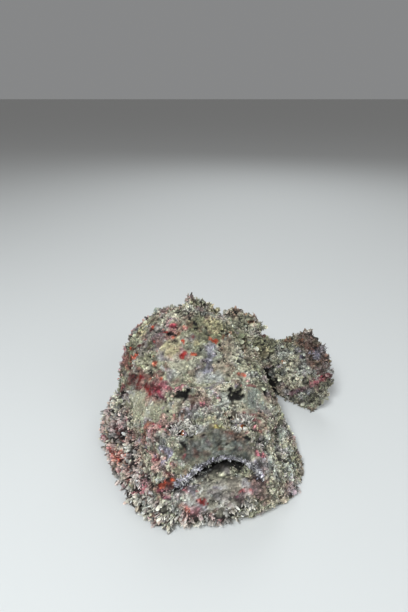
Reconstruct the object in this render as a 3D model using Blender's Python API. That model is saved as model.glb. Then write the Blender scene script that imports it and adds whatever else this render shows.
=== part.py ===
# A life-size reef stonefish lying on the sea floor, its head straight and its tail
# curled round to its own left, with the pectoral fins spread on the floor.
# Units are metres, +Z is up, the head faces -Y, and the origin lies on the floor
# under the shoulders.

import math
import random

import bmesh
import bpy
import numpy as np
from mathutils import Vector
from mathutils.bvhtree import BVHTree

# Driving sizes of the body
BODY_LENGTH = 0.253         # front of the face to the end of the tail stalk, along the bend
FACE_DEPTH = 0.020          # how far back the rounded face reaches
FACE_POLE_HEIGHT = 0.014    # height of the foremost point, on the chin
FACE_SLANT = 0.42           # how far the face leans back for each unit of height
SHOULDER_PLACE = 0.110      # the station that stands over the origin
HEAD_TURN = math.radians(7.0)
SWAY = math.radians(10.0)   # the shoulders turn to the right before the body curls left
SWAY_START = 0.055
SWAY_END = 0.110
BEND_START = 0.105
BEND_END = 0.250
BEND_ANGLE = math.radians(138.0)
TAIL_ROLL = math.radians(24.0)
INNER_SQUEEZE = 0.36        # how much the flank narrows on the inside of the bend
GAP = 0.0003                # left between pieces that touch
SPINE_STEP = 0.001

# Stations along the body: place, half width, top, widest level, underside
BODY_STATIONS = (
    (0.000, 0.0430, 0.0530, 0.0180, -0.0040),
    (0.025, 0.0485, 0.0600, 0.0200, -0.0040),
    (0.045, 0.0530, 0.0625, 0.0230, -0.0040),
    (0.070, 0.0570, 0.0665, 0.0260, -0.0040),
    (0.095, 0.0615, 0.0780, 0.0280, -0.0040),
    (0.120, 0.0640, 0.0930, 0.0310, -0.0040),
    (0.143, 0.0600, 0.0955, 0.0330, -0.0040),
    (0.168, 0.0450, 0.0810, 0.0310, -0.0040),
    (0.195, 0.0315, 0.0640, 0.0280, -0.0040),
    (0.222, 0.0205, 0.0510, 0.0250, -0.0010),
    (0.253, 0.0125, 0.0450, 0.0230, 0.0030),
)
UPPER_ROUND = 2.25          # section exponents: 2 is an ellipse, more is boxier
LOWER_ROUND = 3.4
RINGS_ON_FACE = 15
RING_SPACING = 0.0030
POINTS_AROUND = 104
SKIN_TRIANGLES = 4800

# Where the body is parted
HEAD_END = 0.104
TRUNK_CUTS = (0.104, 0.143, 0.182, 0.218)
TRUNK_NAMES = ("trunk_front", "trunk_middle", "trunk_rear", "tail_stalk")
GILL_CENTRE = (0.054, 0.070, 0.036)
GILL_RADII = (0.016, 0.025, 0.019)

# The mouth: an arch that stands upright in the face, open at its top
MOUTH_HALF_WIDTH = 0.0266
MOUTH_CORNER_HEIGHT = 0.0305
MOUTH_ARCH_HEIGHT = 0.0404
MOUTH_LEAN = 0.10
MOUTH_PEAK = 1.9
MOUTH_OPENING = 0.0044
MOUTH_DEPTH = 0.0360
LIP_STEPS = 16
UPPER_LIP = ("upper_lip", 0.0056, 0.0022)
LOWER_LIP = ("lower_lip", -0.0016, 0.0018)
LIP_FLAPS = 15
LIP_FLAP_LENGTH = 0.0036

# The eyes, on knobs at the top of the head
EYE_SIDE = 0.0203
EYE_PLACE = 0.0440
EYE_RADIUS = 0.0046
LID_RADIUS = 0.0012
NOSTRIL_SIDE = 0.0110
NOSTRIL_PLACE = 0.0350

# Fins
PECTORAL_RAYS = 15
TAIL_RAYS = 12
DORSAL_SPINES = 13
SOFT_DORSAL_RAYS = 6
ANAL_RAYS = 7
PELVIC_RAYS = 6
FIN_ROWS = 6

WART_SEED = 7
WART_COUNT = 150

SKIN_COLOUR = (0.46, 0.42, 0.34, 1.0)
FIN_COLOUR = (0.50, 0.36, 0.32, 1.0)
LIP_COLOUR = (0.55, 0.52, 0.50, 1.0)
EYE_COLOUR = (0.10, 0.07, 0.04, 1.0)


def smooth_step(value, low, high):
    share = np.clip((np.asarray(value, float) - low) / (high - low), 0.0, 1.0)
    return share * share * (3.0 - 2.0 * share)


def station(column, place):
    """A body measure at a place along the body, on a smooth curve through the stations."""
    places = np.array([row[0] for row in BODY_STATIONS])
    values = np.array([row[column] for row in BODY_STATIONS])
    slopes = np.gradient(values, places)
    place = np.clip(np.asarray(place, float), places[0], places[-1])
    index = np.clip(np.searchsorted(places, place, side="right") - 1, 0, len(places) - 2)
    length = places[index + 1] - places[index]
    t = (place - places[index]) / length
    start, end = values[index], values[index + 1]
    start_slope, end_slope = slopes[index] * length, slopes[index + 1] * length
    return (
        start * (2 * t**3 - 3 * t**2 + 1)
        + start_slope * (t**3 - 2 * t**2 + t)
        + end * (3 * t**2 - 2 * t**3)
        + end_slope * (t**3 - t**2)
    )


def bend_share(place):
    """How much of the bend lies ahead of this place, and how fast it turns there."""
    t = np.clip((np.asarray(place, float) - BEND_START) / (BEND_END - BEND_START), 0.0, 1.0)
    turned = t - np.sin(2 * math.pi * t) / (2 * math.pi)
    sharpness = (1 - np.cos(2 * math.pi * t)) / 2
    return turned, sharpness


def heading(place):
    """The direction in which the body runs back at this place, in radians from +X."""
    sway = SWAY * smooth_step(place, SWAY_START, SWAY_END)
    return math.pi / 2 + HEAD_TURN + sway - BEND_ANGLE * bend_share(place)[0]


def make_spine():
    """Points of the centreline on the floor, spaced evenly, with the shoulders at the origin."""
    places = np.arange(-0.06, BODY_LENGTH + 0.10, SPINE_STEP)
    turn = heading(places)
    steps = np.stack([np.cos(turn), np.sin(turn)], axis=1) * SPINE_STEP
    points = np.cumsum(steps, axis=0)
    points -= np.array([np.interp(SHOULDER_PLACE, places, points[:, k]) for k in (0, 1)])
    return places, points


SPINE_PLACES, SPINE_POINTS = make_spine()


def spine_frame(place, rolled=True):
    """Centre on the floor, and the unit vectors back along the body, to its left, and up."""
    place = np.asarray(place, float)
    centre = np.stack(
        [
            np.interp(place, SPINE_PLACES, SPINE_POINTS[:, 0]),
            np.interp(place, SPINE_PLACES, SPINE_POINTS[:, 1]),
            np.zeros_like(place),
        ],
        axis=-1,
    )
    turn = heading(place)
    zero, one = np.zeros_like(turn), np.ones_like(turn)
    back = np.stack([np.cos(turn), np.sin(turn), zero], axis=-1)
    flat_side = np.stack([np.sin(turn), -np.cos(turn), zero], axis=-1)
    plain_up = np.stack([zero, zero, one], axis=-1)
    roll = (TAIL_ROLL * rolled * smooth_step(place, 0.16, 0.24))[..., None]
    side = flat_side * np.cos(roll) + plain_up * np.sin(roll)
    up = plain_up * np.cos(roll) - flat_side * np.sin(roll)
    return centre, back, side, up


def body_point(place, lateral, height, rolled=True):
    """The point at these body measures, all arrays of one shape."""
    measures = [np.asarray(value, float) for value in (place, lateral, height)]
    place, lateral, height = np.broadcast_arrays(*measures)
    centre, _, side, up = spine_frame(place, rolled)
    middle = (station(2, place) + np.maximum(station(4, place), 0.0)) / 2
    plain_up = np.array([0.0, 0.0, 1.0])
    return (
        centre
        + lateral[..., None] * side
        + (height - middle)[..., None] * up
        + middle[..., None] * plain_up
    )


def section(place, angle):
    """Lateral and height of the body's outline at this place, at an angle from its left side."""
    half, top, level, under = (station(k, place) for k in (1, 2, 3, 4))
    cosine, sine = np.cos(angle), np.sin(angle)
    inner = np.where(cosine > 0, 1 - INNER_SQUEEZE * bend_share(place)[1], 1.0)
    power = np.where(sine > 0, 2 / UPPER_ROUND, 2 / LOWER_ROUND)
    lateral = half * inner * np.sign(cosine) * np.abs(cosine) ** power
    rise = np.where(sine > 0, top - level, level - under)
    height = level + rise * np.sign(sine) * np.abs(sine) ** power
    return lateral, height


def slant(place, height):
    """How far back the leaning face moves a point of the upright body."""
    lift = np.clip(np.asarray(height, float) - FACE_POLE_HEIGHT, 0.0, 0.06)
    return FACE_SLANT * lift * (1 - smooth_step(place, 0.010, 0.080))


def body_rings():
    """Place and scale of each ring, from the face back to the rounded end of the tail stalk."""
    turn = (np.arange(1, RINGS_ON_FACE + 1) / RINGS_ON_FACE) * math.pi / 2
    face = [(FACE_DEPTH * (1 - math.cos(t)), math.sin(t) ** 0.85) for t in turn]
    count = int((BODY_LENGTH - FACE_DEPTH) / RING_SPACING)
    body = [(FACE_DEPTH + (BODY_LENGTH - FACE_DEPTH) * k / count, 1.0) for k in range(1, count)]
    end = [(BODY_LENGTH, 1.0), (BODY_LENGTH + 0.0025, 0.82), (BODY_LENGTH + 0.0035, 0.5)]
    return face + body + end


def body_grid():
    """The smooth body as rings of points, with each point's place, lateral and height."""
    rings = body_rings()
    place = np.array([r[0] for r in rings])[:, None]
    scale = np.array([r[1] for r in rings])[:, None]
    angle = (np.arange(POINTS_AROUND) * 2 * math.pi / POINTS_AROUND)[None, :]
    lateral, height = section(place, angle)
    middle = (station(2, place) + station(4, place)) / 2
    pole = np.where(place < BODY_LENGTH / 2, FACE_POLE_HEIGHT, middle)
    lateral = lateral * scale
    height = pole + (height - pole) * scale
    return place + slant(place, height), lateral, height


def bump(value, centre, radius):
    return ((value - centre) / radius) ** 2


# Forms of the head: side of the midline, place, height, their three radii, and rise
HEAD_FORMS = (
    ("knob under each eye", 0.0195, 0.0430, 0.060, 0.0090, 0.0085, 0.020, 0.0135),
    ("brow behind each eye", 0.0225, 0.0530, 0.062, 0.0085, 0.0060, 0.012, 0.0045),
    ("saddle between the eyes", 0.0, 0.0480, 0.064, 0.0090, 0.0090, 0.020, -0.0055),
    ("ridge behind the saddle", 0.0, 0.0590, 0.066, 0.0240, 0.0055, 0.020, 0.0045),
    ("pit in front of each eye", 0.0235, 0.0310, 0.052, 0.0055, 0.0050, 0.012, -0.0085),
    ("pit behind each eye", 0.0190, 0.0660, 0.064, 0.0090, 0.0060, 0.014, -0.0155),
    ("groove between the pits", 0.0, 0.0665, 0.066, 0.0160, 0.0045, 0.020, -0.0035),
    ("knob behind each pit", 0.0200, 0.0765, 0.070, 0.0090, 0.0065, 0.014, 0.0035),
    ("nape", 0.0, 0.0810, 0.074, 0.0120, 0.0090, 0.020, 0.0050),
    ("snout", 0.0, 0.0300, 0.056, 0.0120, 0.0070, 0.009, 0.0020),
    ("cheek", 0.0520, 0.0400, 0.032, 0.0160, 0.0150, 0.012, 0.0050),
    ("cheek knob", 0.0440, 0.0580, 0.054, 0.0090, 0.0070, 0.008, 0.0045),
    ("front cheek knob", 0.0400, 0.0290, 0.044, 0.0080, 0.0060, 0.007, 0.0040),
    ("hollow above the cheek", 0.0400, 0.0480, 0.050, 0.0080, 0.0100, 0.008, -0.0040),
    ("shoulder", 0.0460, 0.1000, 0.062, 0.0140, 0.0120, 0.014, 0.0050),
    ("fold round the jaw", 0.0370, 0.0080, 0.022, 0.0040, 0.0090, 0.018, -0.0030),
    ("chin", 0.0, 0.0, 0.011, 0.0200, 0.0200, 0.008, 0.0020),
)


def head_relief(place, lateral, height):
    """How far the head's forms lift the smooth body, in metres."""
    rise = np.zeros_like(lateral)
    for _, side, at, level, r_side, r_along, r_height, amount in HEAD_FORMS:
        distance = (
            bump(np.abs(lateral), side, r_side)
            + bump(place, at, r_along)
            + bump(height, level, r_height)
        )
        rise += amount * np.exp(-distance)
    return rise


def wart_relief(points, place, height):
    """Rounded warts strewn over the back and flanks, larger towards the back."""
    draw = random.Random(WART_SEED)
    rise = np.zeros(points.shape[:2])
    rings, around = rise.shape
    centres = []
    tries = 0
    while len(centres) < WART_COUNT and tries < 6000:
        tries += 1
        i, j = draw.randrange(12, rings - 8), draw.randrange(around)
        radius = draw.uniform(0.0045, 0.0085)
        if height[i, j] < 0.010 or (place[i, j] < 0.030 and radius > 0.006):
            continue
        if any(np.linalg.norm(points[i, j] - c) < 0.8 * (radius + r) for c, r in centres):
            continue
        centres.append((points[i, j], radius))
    for centre, radius in centres:
        distance = np.linalg.norm(points - centre, axis=2) / radius
        rise += 0.34 * radius * np.clip(1 - distance**2, 0.0, 1.0) ** 1.5
    return rise


def grid_normals(points):
    """Outward normals of the ring grid."""
    around = np.roll(points, -1, axis=1) - np.roll(points, 1, axis=1)
    along = np.gradient(points, axis=0)
    normal = np.cross(around, along)
    return normal / np.maximum(np.linalg.norm(normal, axis=2, keepdims=True), 1e-9)


def finish(name, colour):
    """The material of one sub-part."""
    material = bpy.data.materials.new(name)
    material.use_nodes = True
    shader = material.node_tree.nodes["Principled BSDF"]
    shader.inputs["Base Color"].default_value = colour
    shader.inputs["Roughness"].default_value = 0.2 if colour == EYE_COLOUR else 0.8
    shader.inputs["Metallic"].default_value = 0.0
    return material


def add_object(name, bm, colour=SKIN_COLOUR):
    """Takes over a bmesh as a new object of the stonefish, all triangles facing out."""
    bmesh.ops.recalc_face_normals(bm, faces=bm.faces)
    bmesh.ops.triangulate(bm, faces=bm.faces)
    mesh = bpy.data.meshes.new(name)
    bm.to_mesh(mesh)
    bm.free()
    mesh.materials.append(finish(name, colour))
    obj = bpy.data.objects.new(name, mesh)
    bpy.data.collections["stonefish"].objects.link(obj)
    return obj


def copy_of(obj, name):
    bm = bmesh.new()
    bm.from_mesh(obj.data)
    return add_object(name, bm)


def remove(obj):
    mesh = obj.data
    bpy.data.objects.remove(obj)
    bpy.data.meshes.remove(mesh)


def apply_modifiers(obj):
    graph = bpy.context.evaluated_depsgraph_get()
    made = bpy.data.meshes.new_from_object(obj.evaluated_get(graph))
    finished = obj.data.materials[0]
    obj.modifiers.clear()
    obj.data = made
    made.materials.clear()
    made.materials.append(finished)


def keep_largest(obj):
    """Leaves only the closed surface with the largest volume."""
    bm = bmesh.new()
    bm.from_mesh(obj.data)
    bmesh.ops.triangulate(bm, faces=bm.faces)
    left = set(bm.faces)
    shells = []
    while left:
        shell, todo = [], [left.pop()]
        while todo:
            face = todo.pop()
            shell.append(face)
            near = {other for edge in face.edges for other in edge.link_faces} & left
            left -= near
            todo.extend(near)
        volume = sum(f.verts[0].co.dot(f.verts[1].co.cross(f.verts[2].co)) for f in shell)
        shells.append((volume, shell))
    shells.sort(key=lambda entry: entry[0])
    for _, shell in shells[:-1]:
        bmesh.ops.delete(bm, geom=shell, context="FACES")
    bm.to_mesh(obj.data)
    bm.free()


def combine(obj, others, operation, solver="EXACT"):
    """Cuts, crosses or joins obj with closed meshes, which are removed afterwards."""
    group = bpy.data.collections.new("others")
    for other in others:
        group.objects.link(other)
    modifier = obj.modifiers.new("combine", "BOOLEAN")
    modifier.operation = operation
    modifier.solver = solver
    modifier.operand_type = "COLLECTION"
    modifier.collection = group
    apply_modifiers(obj)
    for other in others:
        remove(other)
    bpy.data.collections.remove(group)
    keep_largest(obj)


def trim(obj, other):
    """Cuts obj with a closed mesh that stays."""
    modifier = obj.modifiers.new("trim", "BOOLEAN")
    modifier.operation = "DIFFERENCE"
    modifier.object = other
    apply_modifiers(obj)
    keep_largest(obj)


def grow(obj, distance):
    """Moves every point out along its normal."""
    bm = bmesh.new()
    bm.from_mesh(obj.data)
    bm.normal_update()
    moves = [vert.normal * distance for vert in bm.verts]
    for vert, move in zip(bm.verts, moves):
        vert.co += move
    bm.to_mesh(obj.data)
    bm.free()


def loft(name, rings, colour=SKIN_COLOUR):
    """A closed skin over rings of points, with a cap at each end."""
    bm = bmesh.new()
    made = [[bm.verts.new(tuple(map(float, point))) for point in ring] for ring in rings]
    for ring, following in zip(made, made[1:]):
        for j in range(len(ring)):
            k = (j + 1) % len(ring)
            bm.faces.new((ring[j], ring[k], following[k], following[j]))
    bm.faces.new(made[0])
    bm.faces.new(made[-1])
    return add_object(name, bm, colour)


def whole_body():
    """The body in one piece, with the head's forms and the warts, thinned to its triangle count."""
    place, lateral, height = body_grid()
    points = body_point(place, lateral, height)
    relief = head_relief(place, lateral, height) + wart_relief(points, place, height)
    body = loft("whole_body", points + grid_normals(points) * relief[..., None])
    thin = body.modifiers.new("thin", "DECIMATE")
    thin.ratio = SKIN_TRIANGLES / len(body.data.polygons)
    apply_modifiers(body)
    return body


def floor_block():
    """Everything below the floor; cutting with it leaves flats on whatever reaches the floor."""
    bm = bmesh.new()
    bmesh.ops.create_cube(bm, size=1.0)
    bmesh.ops.translate(bm, verts=bm.verts, vec=(0.0, 0.0, -0.5))
    return add_object("floor_block", bm)


def body_block(start, end):
    """A block round the body between two places, with its ends square to the spine."""
    rings = []
    count = max(2, int((end - start) / 0.006))
    for place in np.linspace(start, end, count + 1):
        turning = 2 * BEND_ANGLE / (BEND_END - BEND_START) * float(bend_share(place)[1])
        outer = float(station(1, place)) + 0.02
        inner = min(outer, 0.94 / max(turning, 1.0))
        outline = ((inner, -0.03), (inner, 0.14), (-outer, 0.14), (-outer, -0.03))
        rings.append([body_point(place, lateral, height, rolled=False) for lateral, height in outline])
    return loft("body_block", rings)


def ball(name, centre, radii, rings=8, segments=12, colour=SKIN_COLOUR):
    """An ellipsoid with its axes across, along and up from the head."""
    bm = bmesh.new()
    bmesh.ops.create_uvsphere(bm, u_segments=segments, v_segments=rings, radius=1.0)
    back, across, up = head_axes()
    for vert in bm.verts:
        x, y, z = (value * radius for value, radius in zip(vert.co, radii))
        vert.co = centre + across * x + back * y + up * z
    return add_object(name, bm, colour)


def tube(name, points, radius, colour=LIP_COLOUR, closed=False):
    """A tube through points, or a ring where it is closed."""
    curve = bpy.data.curves.new(name, "CURVE")
    curve.dimensions = "3D"
    curve.bevel_depth = radius
    curve.bevel_resolution = 1
    curve.use_fill_caps = not closed
    spline = curve.splines.new("POLY")
    spline.use_cyclic_u = closed
    spline.points.add(len(points) - 1)
    for point, place in zip(spline.points, points):
        point.co = (*map(float, place), 1.0)
    holder = bpy.data.objects.new(name, curve)
    bpy.data.collections["stonefish"].objects.link(holder)
    graph = bpy.context.evaluated_depsgraph_get()
    mesh = bpy.data.meshes.new_from_object(holder.evaluated_get(graph))
    bpy.data.objects.remove(holder)
    bpy.data.curves.remove(curve)
    bm = bmesh.new()
    bm.from_mesh(mesh)
    bpy.data.meshes.remove(mesh)
    bmesh.ops.remove_doubles(bm, verts=bm.verts, dist=1e-5)
    return add_object(name, bm, colour)


def flap(root, tip, root_radius, tip_radius):
    """A short tapered skin flap."""
    bm = bmesh.new()
    bmesh.ops.create_cone(
        bm,
        cap_ends=True,
        segments=4,
        radius1=root_radius,
        radius2=tip_radius,
        depth=(tip - root).length,
    )
    turn = (tip - root).to_track_quat("Z", "Y").to_matrix().to_4x4()
    bmesh.ops.transform(bm, matrix=turn, verts=bm.verts)
    bmesh.ops.translate(bm, vec=(root + tip) / 2, verts=bm.verts)
    return add_object("flap", bm)


def mouth_arch(share, lift=0.0):
    """Side and height of the mouth's line; share runs from -1 at one corner to 1 at the other."""
    side = (MOUTH_HALF_WIDTH + lift) * math.sin(share * math.pi / 2)
    leaning = share - MOUTH_LEAN * (1 - share**2)
    rise = max(math.cos(leaning * math.pi / 2), 0.0) ** MOUTH_PEAK
    height = MOUTH_CORNER_HEIGHT + (MOUTH_ARCH_HEIGHT + lift - MOUTH_CORNER_HEIGHT) * rise
    return side, height


def jaw_block(opening, depth):
    """The room of the lower jaw: what lies under the mouth's arch, run back from the face."""
    outline = []
    for share in np.linspace(-1.0, 1.0, 15):
        side, height = mouth_arch(share)
        outline.append((side, height + opening * math.cos(share * math.pi / 2)))
    spare = 0.12 * opening
    outline = [(side + spare * np.sign(side), height) for side, height in outline]
    outline = [(outline[0][0], -0.02)] + outline + [(outline[-1][0], -0.02)]
    rings = [[body_point(place, side, height) for side, height in outline] for place in (-0.03, depth)]
    return loft("jaw_block", rings)


def head_axes():
    """Back along the head, to its left, and up."""
    return [Vector(axis) for axis in spine_frame(0.03)[1:]]


def face_spot(tree, side, height):
    """Where the face's surface lies at this side and height, seen from the front."""
    start = Vector(body_point(-0.06, side, height))
    return tree.ray_cast(start, head_axes()[0])[0]


def top_spot(tree, side, place):
    """Where the surface lies at this side and place, seen from above."""
    start = Vector(body_point(place, side, 0.2))
    return tree.ray_cast(start, -head_axes()[2])[0]


def surface_tree(body):
    bm = bmesh.new()
    bm.from_mesh(body.data)
    tree = BVHTree.FromBMesh(bm)
    bm.free()
    return tree


def lip(tree, name, lift, radius, aim):
    """A lip along the mouth's arch with its fringe of flaps; aim is 1 down over the gap, -1 up."""
    back, across, up = head_axes()
    line = [mouth_arch(share, lift) for share in np.linspace(-1.0, 1.0, LIP_STEPS + 1)]
    piece = tube(name, [face_spot(tree, side, height) for side, height in line], radius)
    draw = random.Random(WART_SEED)
    flaps = []
    for share in np.linspace(-0.88, 0.88, LIP_FLAPS):
        share += aim * 0.45 / LIP_FLAPS
        root = face_spot(tree, *mouth_arch(share, lift)) - back * 0.0010
        reach = LIP_FLAP_LENGTH * draw.uniform(0.75, 1.15) * (0.4 + 0.6 * math.cos(share * math.pi / 2))
        inward = -0.6 * aim * math.sin(share * math.pi / 2)
        downward = -aim * (0.3 + 0.4 * math.cos(share * math.pi / 2))
        tip = root + (across * inward + up * downward - back * 0.55) * reach
        flaps.append(flap(root, tip, 0.0012, 0.0006))
    combine(piece, flaps, "UNION")
    return piece


def smooth_curve(knots, share):
    """A smooth curve through a few evenly spaced points."""
    knots = np.array(knots, float)
    slopes = np.gradient(knots, axis=0)
    spot = np.clip(share, 0.0, 1.0) * (len(knots) - 1)
    index = np.minimum(spot.astype(int), len(knots) - 2)
    t = (spot - index)[:, None]
    return (
        knots[index] * (2 * t**3 - 3 * t**2 + 1)
        + slopes[index] * (t**3 - 2 * t**2 + t)
        + knots[index + 1] * (3 * t**2 - 2 * t**3)
        + slopes[index + 1] * (t**3 - t**2)
    )


def ray_wave(columns, rays):
    """1 on a ray and 0 in the membrane between two rays, for evenly spread columns."""
    share = np.linspace(0.0, rays - 1.0, columns)
    return 0.5 + 0.5 * np.cos(2 * math.pi * share)


def fin_solid(name, middle, half):
    """A closed fin from its middle surface and its half thickness, rows from root to rim."""
    normal = np.cross(np.gradient(middle, axis=0), np.gradient(middle, axis=1))
    normal /= np.maximum(np.linalg.norm(normal, axis=2, keepdims=True), 1e-12)
    upper = middle + normal * half[..., None]
    lower = middle - normal * half[..., None]
    rings = [np.concatenate([upper[:, j], lower[::-1, j]]) for j in range(half.shape[1])]
    return loft(name, rings, FIN_COLOUR)


# Lateral, place and height along the root and the rim of each lying fin, front to rear
RIGHT_PECTORAL_ROOT = (
    (0.024, 0.016, 0.009),
    (0.040, 0.038, 0.014),
    (0.048, 0.066, 0.022),
    (0.054, 0.090, 0.032),
    (0.056, 0.106, 0.042),
)
RIGHT_PECTORAL_RIM = (
    (0.035, 0.003, 0.0018),
    (0.055, 0.020, 0.0018),
    (0.071, 0.050, 0.0018),
    (0.081, 0.086, 0.0018),
    (0.082, 0.118, 0.0040),
    (0.071, 0.132, 0.0140),
)
LEFT_PECTORAL_ROOT = (
    (0.026, 0.022, 0.009),
    (0.041, 0.038, 0.014),
    (0.048, 0.062, 0.020),
    (0.053, 0.084, 0.030),
    (0.055, 0.098, 0.040),
)
LEFT_PECTORAL_RIM = (
    (0.037, 0.014, 0.0018),
    (0.053, 0.016, 0.0018),
    (0.067, 0.034, 0.0018),
    (0.071, 0.052, 0.0018),
    (0.0670, 0.074, 0.0060),
    (0.0645, 0.096, 0.0160),
)
PELVIC_ROOT = ((0.036, 0.042, 0.006), (0.045, 0.062, 0.006), (0.050, 0.084, 0.007))
PELVIC_RIM = ((0.049, 0.038, 0.0016), (0.060, 0.060, 0.0016), (0.060, 0.092, 0.0016))
ANAL_ROOT = ((0.020, 0.172, 0.007), (0.013, 0.192, 0.009), (0.006, 0.212, 0.011))
ANAL_RIM = ((0.050, 0.184, 0.0016), (0.044, 0.212, 0.0016), (0.026, 0.238, 0.0016))


def lying_fin(name, side, root_points, rim_points, rays, crown, thickness):
    """A fan with thick rays that runs out from the body and down to the floor."""
    columns = 2 * rays - 1
    share = np.linspace(0.0, 1.0, columns)
    root = smooth_curve(root_points, share)
    rim = smooth_curve(rim_points, share)
    wave = ray_wave(columns, rays)[None, :]
    out = np.linspace(0.0, 1.0, FIN_ROWS)[:, None]
    reach = out * (1.0 + 0.06 * (wave - 0.5) * smooth_step(out, 0.5, 1.0))
    measures = root[None] + (rim - root)[None] * reach[..., None]
    height = measures[..., 2] + crown * np.sin(math.pi * out)
    middle = body_point(measures[..., 1], side * measures[..., 0], height, rolled=False)
    half = thickness * (0.55 + 0.75 * (1 - out)) + 0.0010 * wave * (1 - 0.3 * out)
    return fin_solid(name, middle, half)


def back_fin(name, start, end, tips, rays, lean, notch, thickness):
    """A fin that stands on the back, with a lobe for each spine or ray."""
    columns = 4 * (rays - 1) + 1
    share = np.linspace(0.0, 1.0, columns)
    place = start + (end - start) * share
    wave = ray_wave(columns, rays)
    tip = np.interp(share, np.linspace(0.0, 1.0, len(tips)), tips)
    sink = 0.007
    out = np.linspace(0.0, 1.0, 5)[:, None]
    rise = (tip * (notch + (1 - notch) * wave) + sink) * out
    middle = body_point(place + lean * rise, 0.0, station(2, place) - sink + rise)
    half = thickness * (0.45 + 0.55 * wave) * (1.0 - 0.6 * out**1.5)
    return fin_solid(name, middle, half)


def tail_fin():
    """The rounded tail fin, a fan on the end of the tail stalk."""
    columns = 2 * TAIL_RAYS - 1
    share = np.linspace(0.0, 1.0, columns)
    wave = ray_wave(columns, TAIL_RAYS)
    angle = np.radians(-44.0 + 80.0 * share)
    root = 0.0095 + 0.0300 * share
    length = 0.067 * (0.66 + 0.34 * np.sin(math.pi * share)) * (1.0 + 0.04 * (wave - 0.5))
    out = np.linspace(0.0, 1.0, FIN_ROWS + 1)[:, None]
    along = BODY_LENGTH - 0.008 + length * np.cos(angle) * out
    height = root + length * np.sin(angle) * out
    middle = body_point(along, 0.007 * np.sin(math.pi * share) * out, height)
    half = 0.0010 + 0.0022 * (1 - out) ** 1.3 + 0.0010 * wave * (1 - 0.4 * out)
    return fin_solid("tail_fin", middle, half)


def ring_points(centre, normal, radius, count):
    """Points of a circle round a normal."""
    turn = Vector(normal).to_track_quat("Z", "Y")
    angles = [2 * math.pi * k / count for k in range(count)]
    return [Vector(centre) + turn @ Vector((radius * math.cos(a), radius * math.sin(a), 0)) for a in angles]


def build_head(body, tree):
    """The head, its lower jaw, gill covers, nostrils, eyes and lids."""
    head = copy_of(body, "head")
    combine(head, [body_block(-0.05, HEAD_END - GAP / 2)], "INTERSECT")
    jaw = copy_of(head, "lower_jaw")
    combine(jaw, [jaw_block(0.0, MOUTH_DEPTH)], "INTERSECT")
    combine(head, [jaw_block(MOUTH_OPENING, MOUTH_DEPTH + 0.004)], "DIFFERENCE")
    back, across, up = head_axes()
    rooms, rings, sockets = [], [], []
    for side, word in ((1, "left"), (-1, "right")):
        centre = Vector(body_point(GILL_CENTRE[1], side * GILL_CENTRE[0], GILL_CENTRE[2]))
        cover = copy_of(head, "gill_cover_" + word)
        combine(cover, [ball("room", centre, GILL_RADII)], "INTERSECT")
        rooms.append(ball("room", centre, [radius + GAP for radius in GILL_RADII]))
        eye = top_spot(tree, side * EYE_SIDE, EYE_PLACE) + up * 0.0002
        facing = (across * side * 0.7 - back * 0.5 + up * 0.5).normalized()
        lid = ring_points(eye + facing * 0.0018, facing, EYE_RADIUS, 14)
        rings.append(tube("lid", lid, LID_RADIUS, closed=True))
        spot = top_spot(tree, side * NOSTRIL_SIDE, NOSTRIL_PLACE)
        rings.append(tube("nostril", ring_points(spot, up - back * 0.6, 0.0018, 9), 0.0009, closed=True))
        sockets.append(ball("socket", eye, [EYE_RADIUS + GAP] * 3, 10, 16))
        ball("eye_" + word, eye, [EYE_RADIUS] * 3, colour=EYE_COLOUR)
    combine(head, rooms, "DIFFERENCE")
    combine(head, rings, "UNION")
    combine(head, sockets, "DIFFERENCE")


def main():
    for obj in list(bpy.data.objects):
        bpy.data.objects.remove(obj)
    collection = bpy.data.collections.new("stonefish")
    bpy.context.scene.collection.children.link(collection)

    body = whole_body()
    combine(body, [floor_block()], "DIFFERENCE")
    tree = surface_tree(body)
    build_head(body, tree)
    ends = TRUNK_CUTS[1:] + (BODY_LENGTH + 0.03,)
    for name, start, end in zip(TRUNK_NAMES, TRUNK_CUTS, ends):
        piece = copy_of(body, name)
        combine(piece, [body_block(start + GAP / 2, end - GAP / 2)], "INTERSECT", "MANIFOLD")

    grow(body, GAP)
    pectoral = (PECTORAL_RAYS, 0.008, 0.0012)
    pelvic = (PELVIC_RAYS, 0.001, 0.0009)
    spine_tips = (0.0050, 0.0070, 0.0075, 0.0065, 0.0050)
    soft_tips = (0.009, 0.012, 0.008)
    fins = [
        lip(tree, *UPPER_LIP, 1),
        lip(tree, *LOWER_LIP, -1),
        lying_fin("pectoral_fin_left", 1, LEFT_PECTORAL_ROOT, LEFT_PECTORAL_RIM, *pectoral),
        lying_fin("pectoral_fin_right", -1, RIGHT_PECTORAL_ROOT, RIGHT_PECTORAL_RIM, *pectoral),
        lying_fin("pelvic_fin_left", 1, PELVIC_ROOT, PELVIC_RIM, *pelvic),
        lying_fin("pelvic_fin_right", -1, PELVIC_ROOT, PELVIC_RIM, *pelvic),
        lying_fin("anal_fin", -1, ANAL_ROOT, ANAL_RIM, ANAL_RAYS, 0.003, 0.0010),
        back_fin("dorsal_spines", 0.086, 0.188, spine_tips, DORSAL_SPINES, 0.7, 0.15, 0.0044),
        back_fin("dorsal_soft_fin", 0.194, 0.226, soft_tips, SOFT_DORSAL_RAYS, 0.8, 0.75, 0.0024),
        tail_fin(),
    ]
    for fin in fins:
        trim(fin, body)
        combine(fin, [floor_block()], "DIFFERENCE")
    remove(body)


main()
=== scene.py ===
import math

import bmesh
import bpy
import numpy as np
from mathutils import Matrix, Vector, noise
from mathutils.bvhtree import BVHTree


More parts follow.
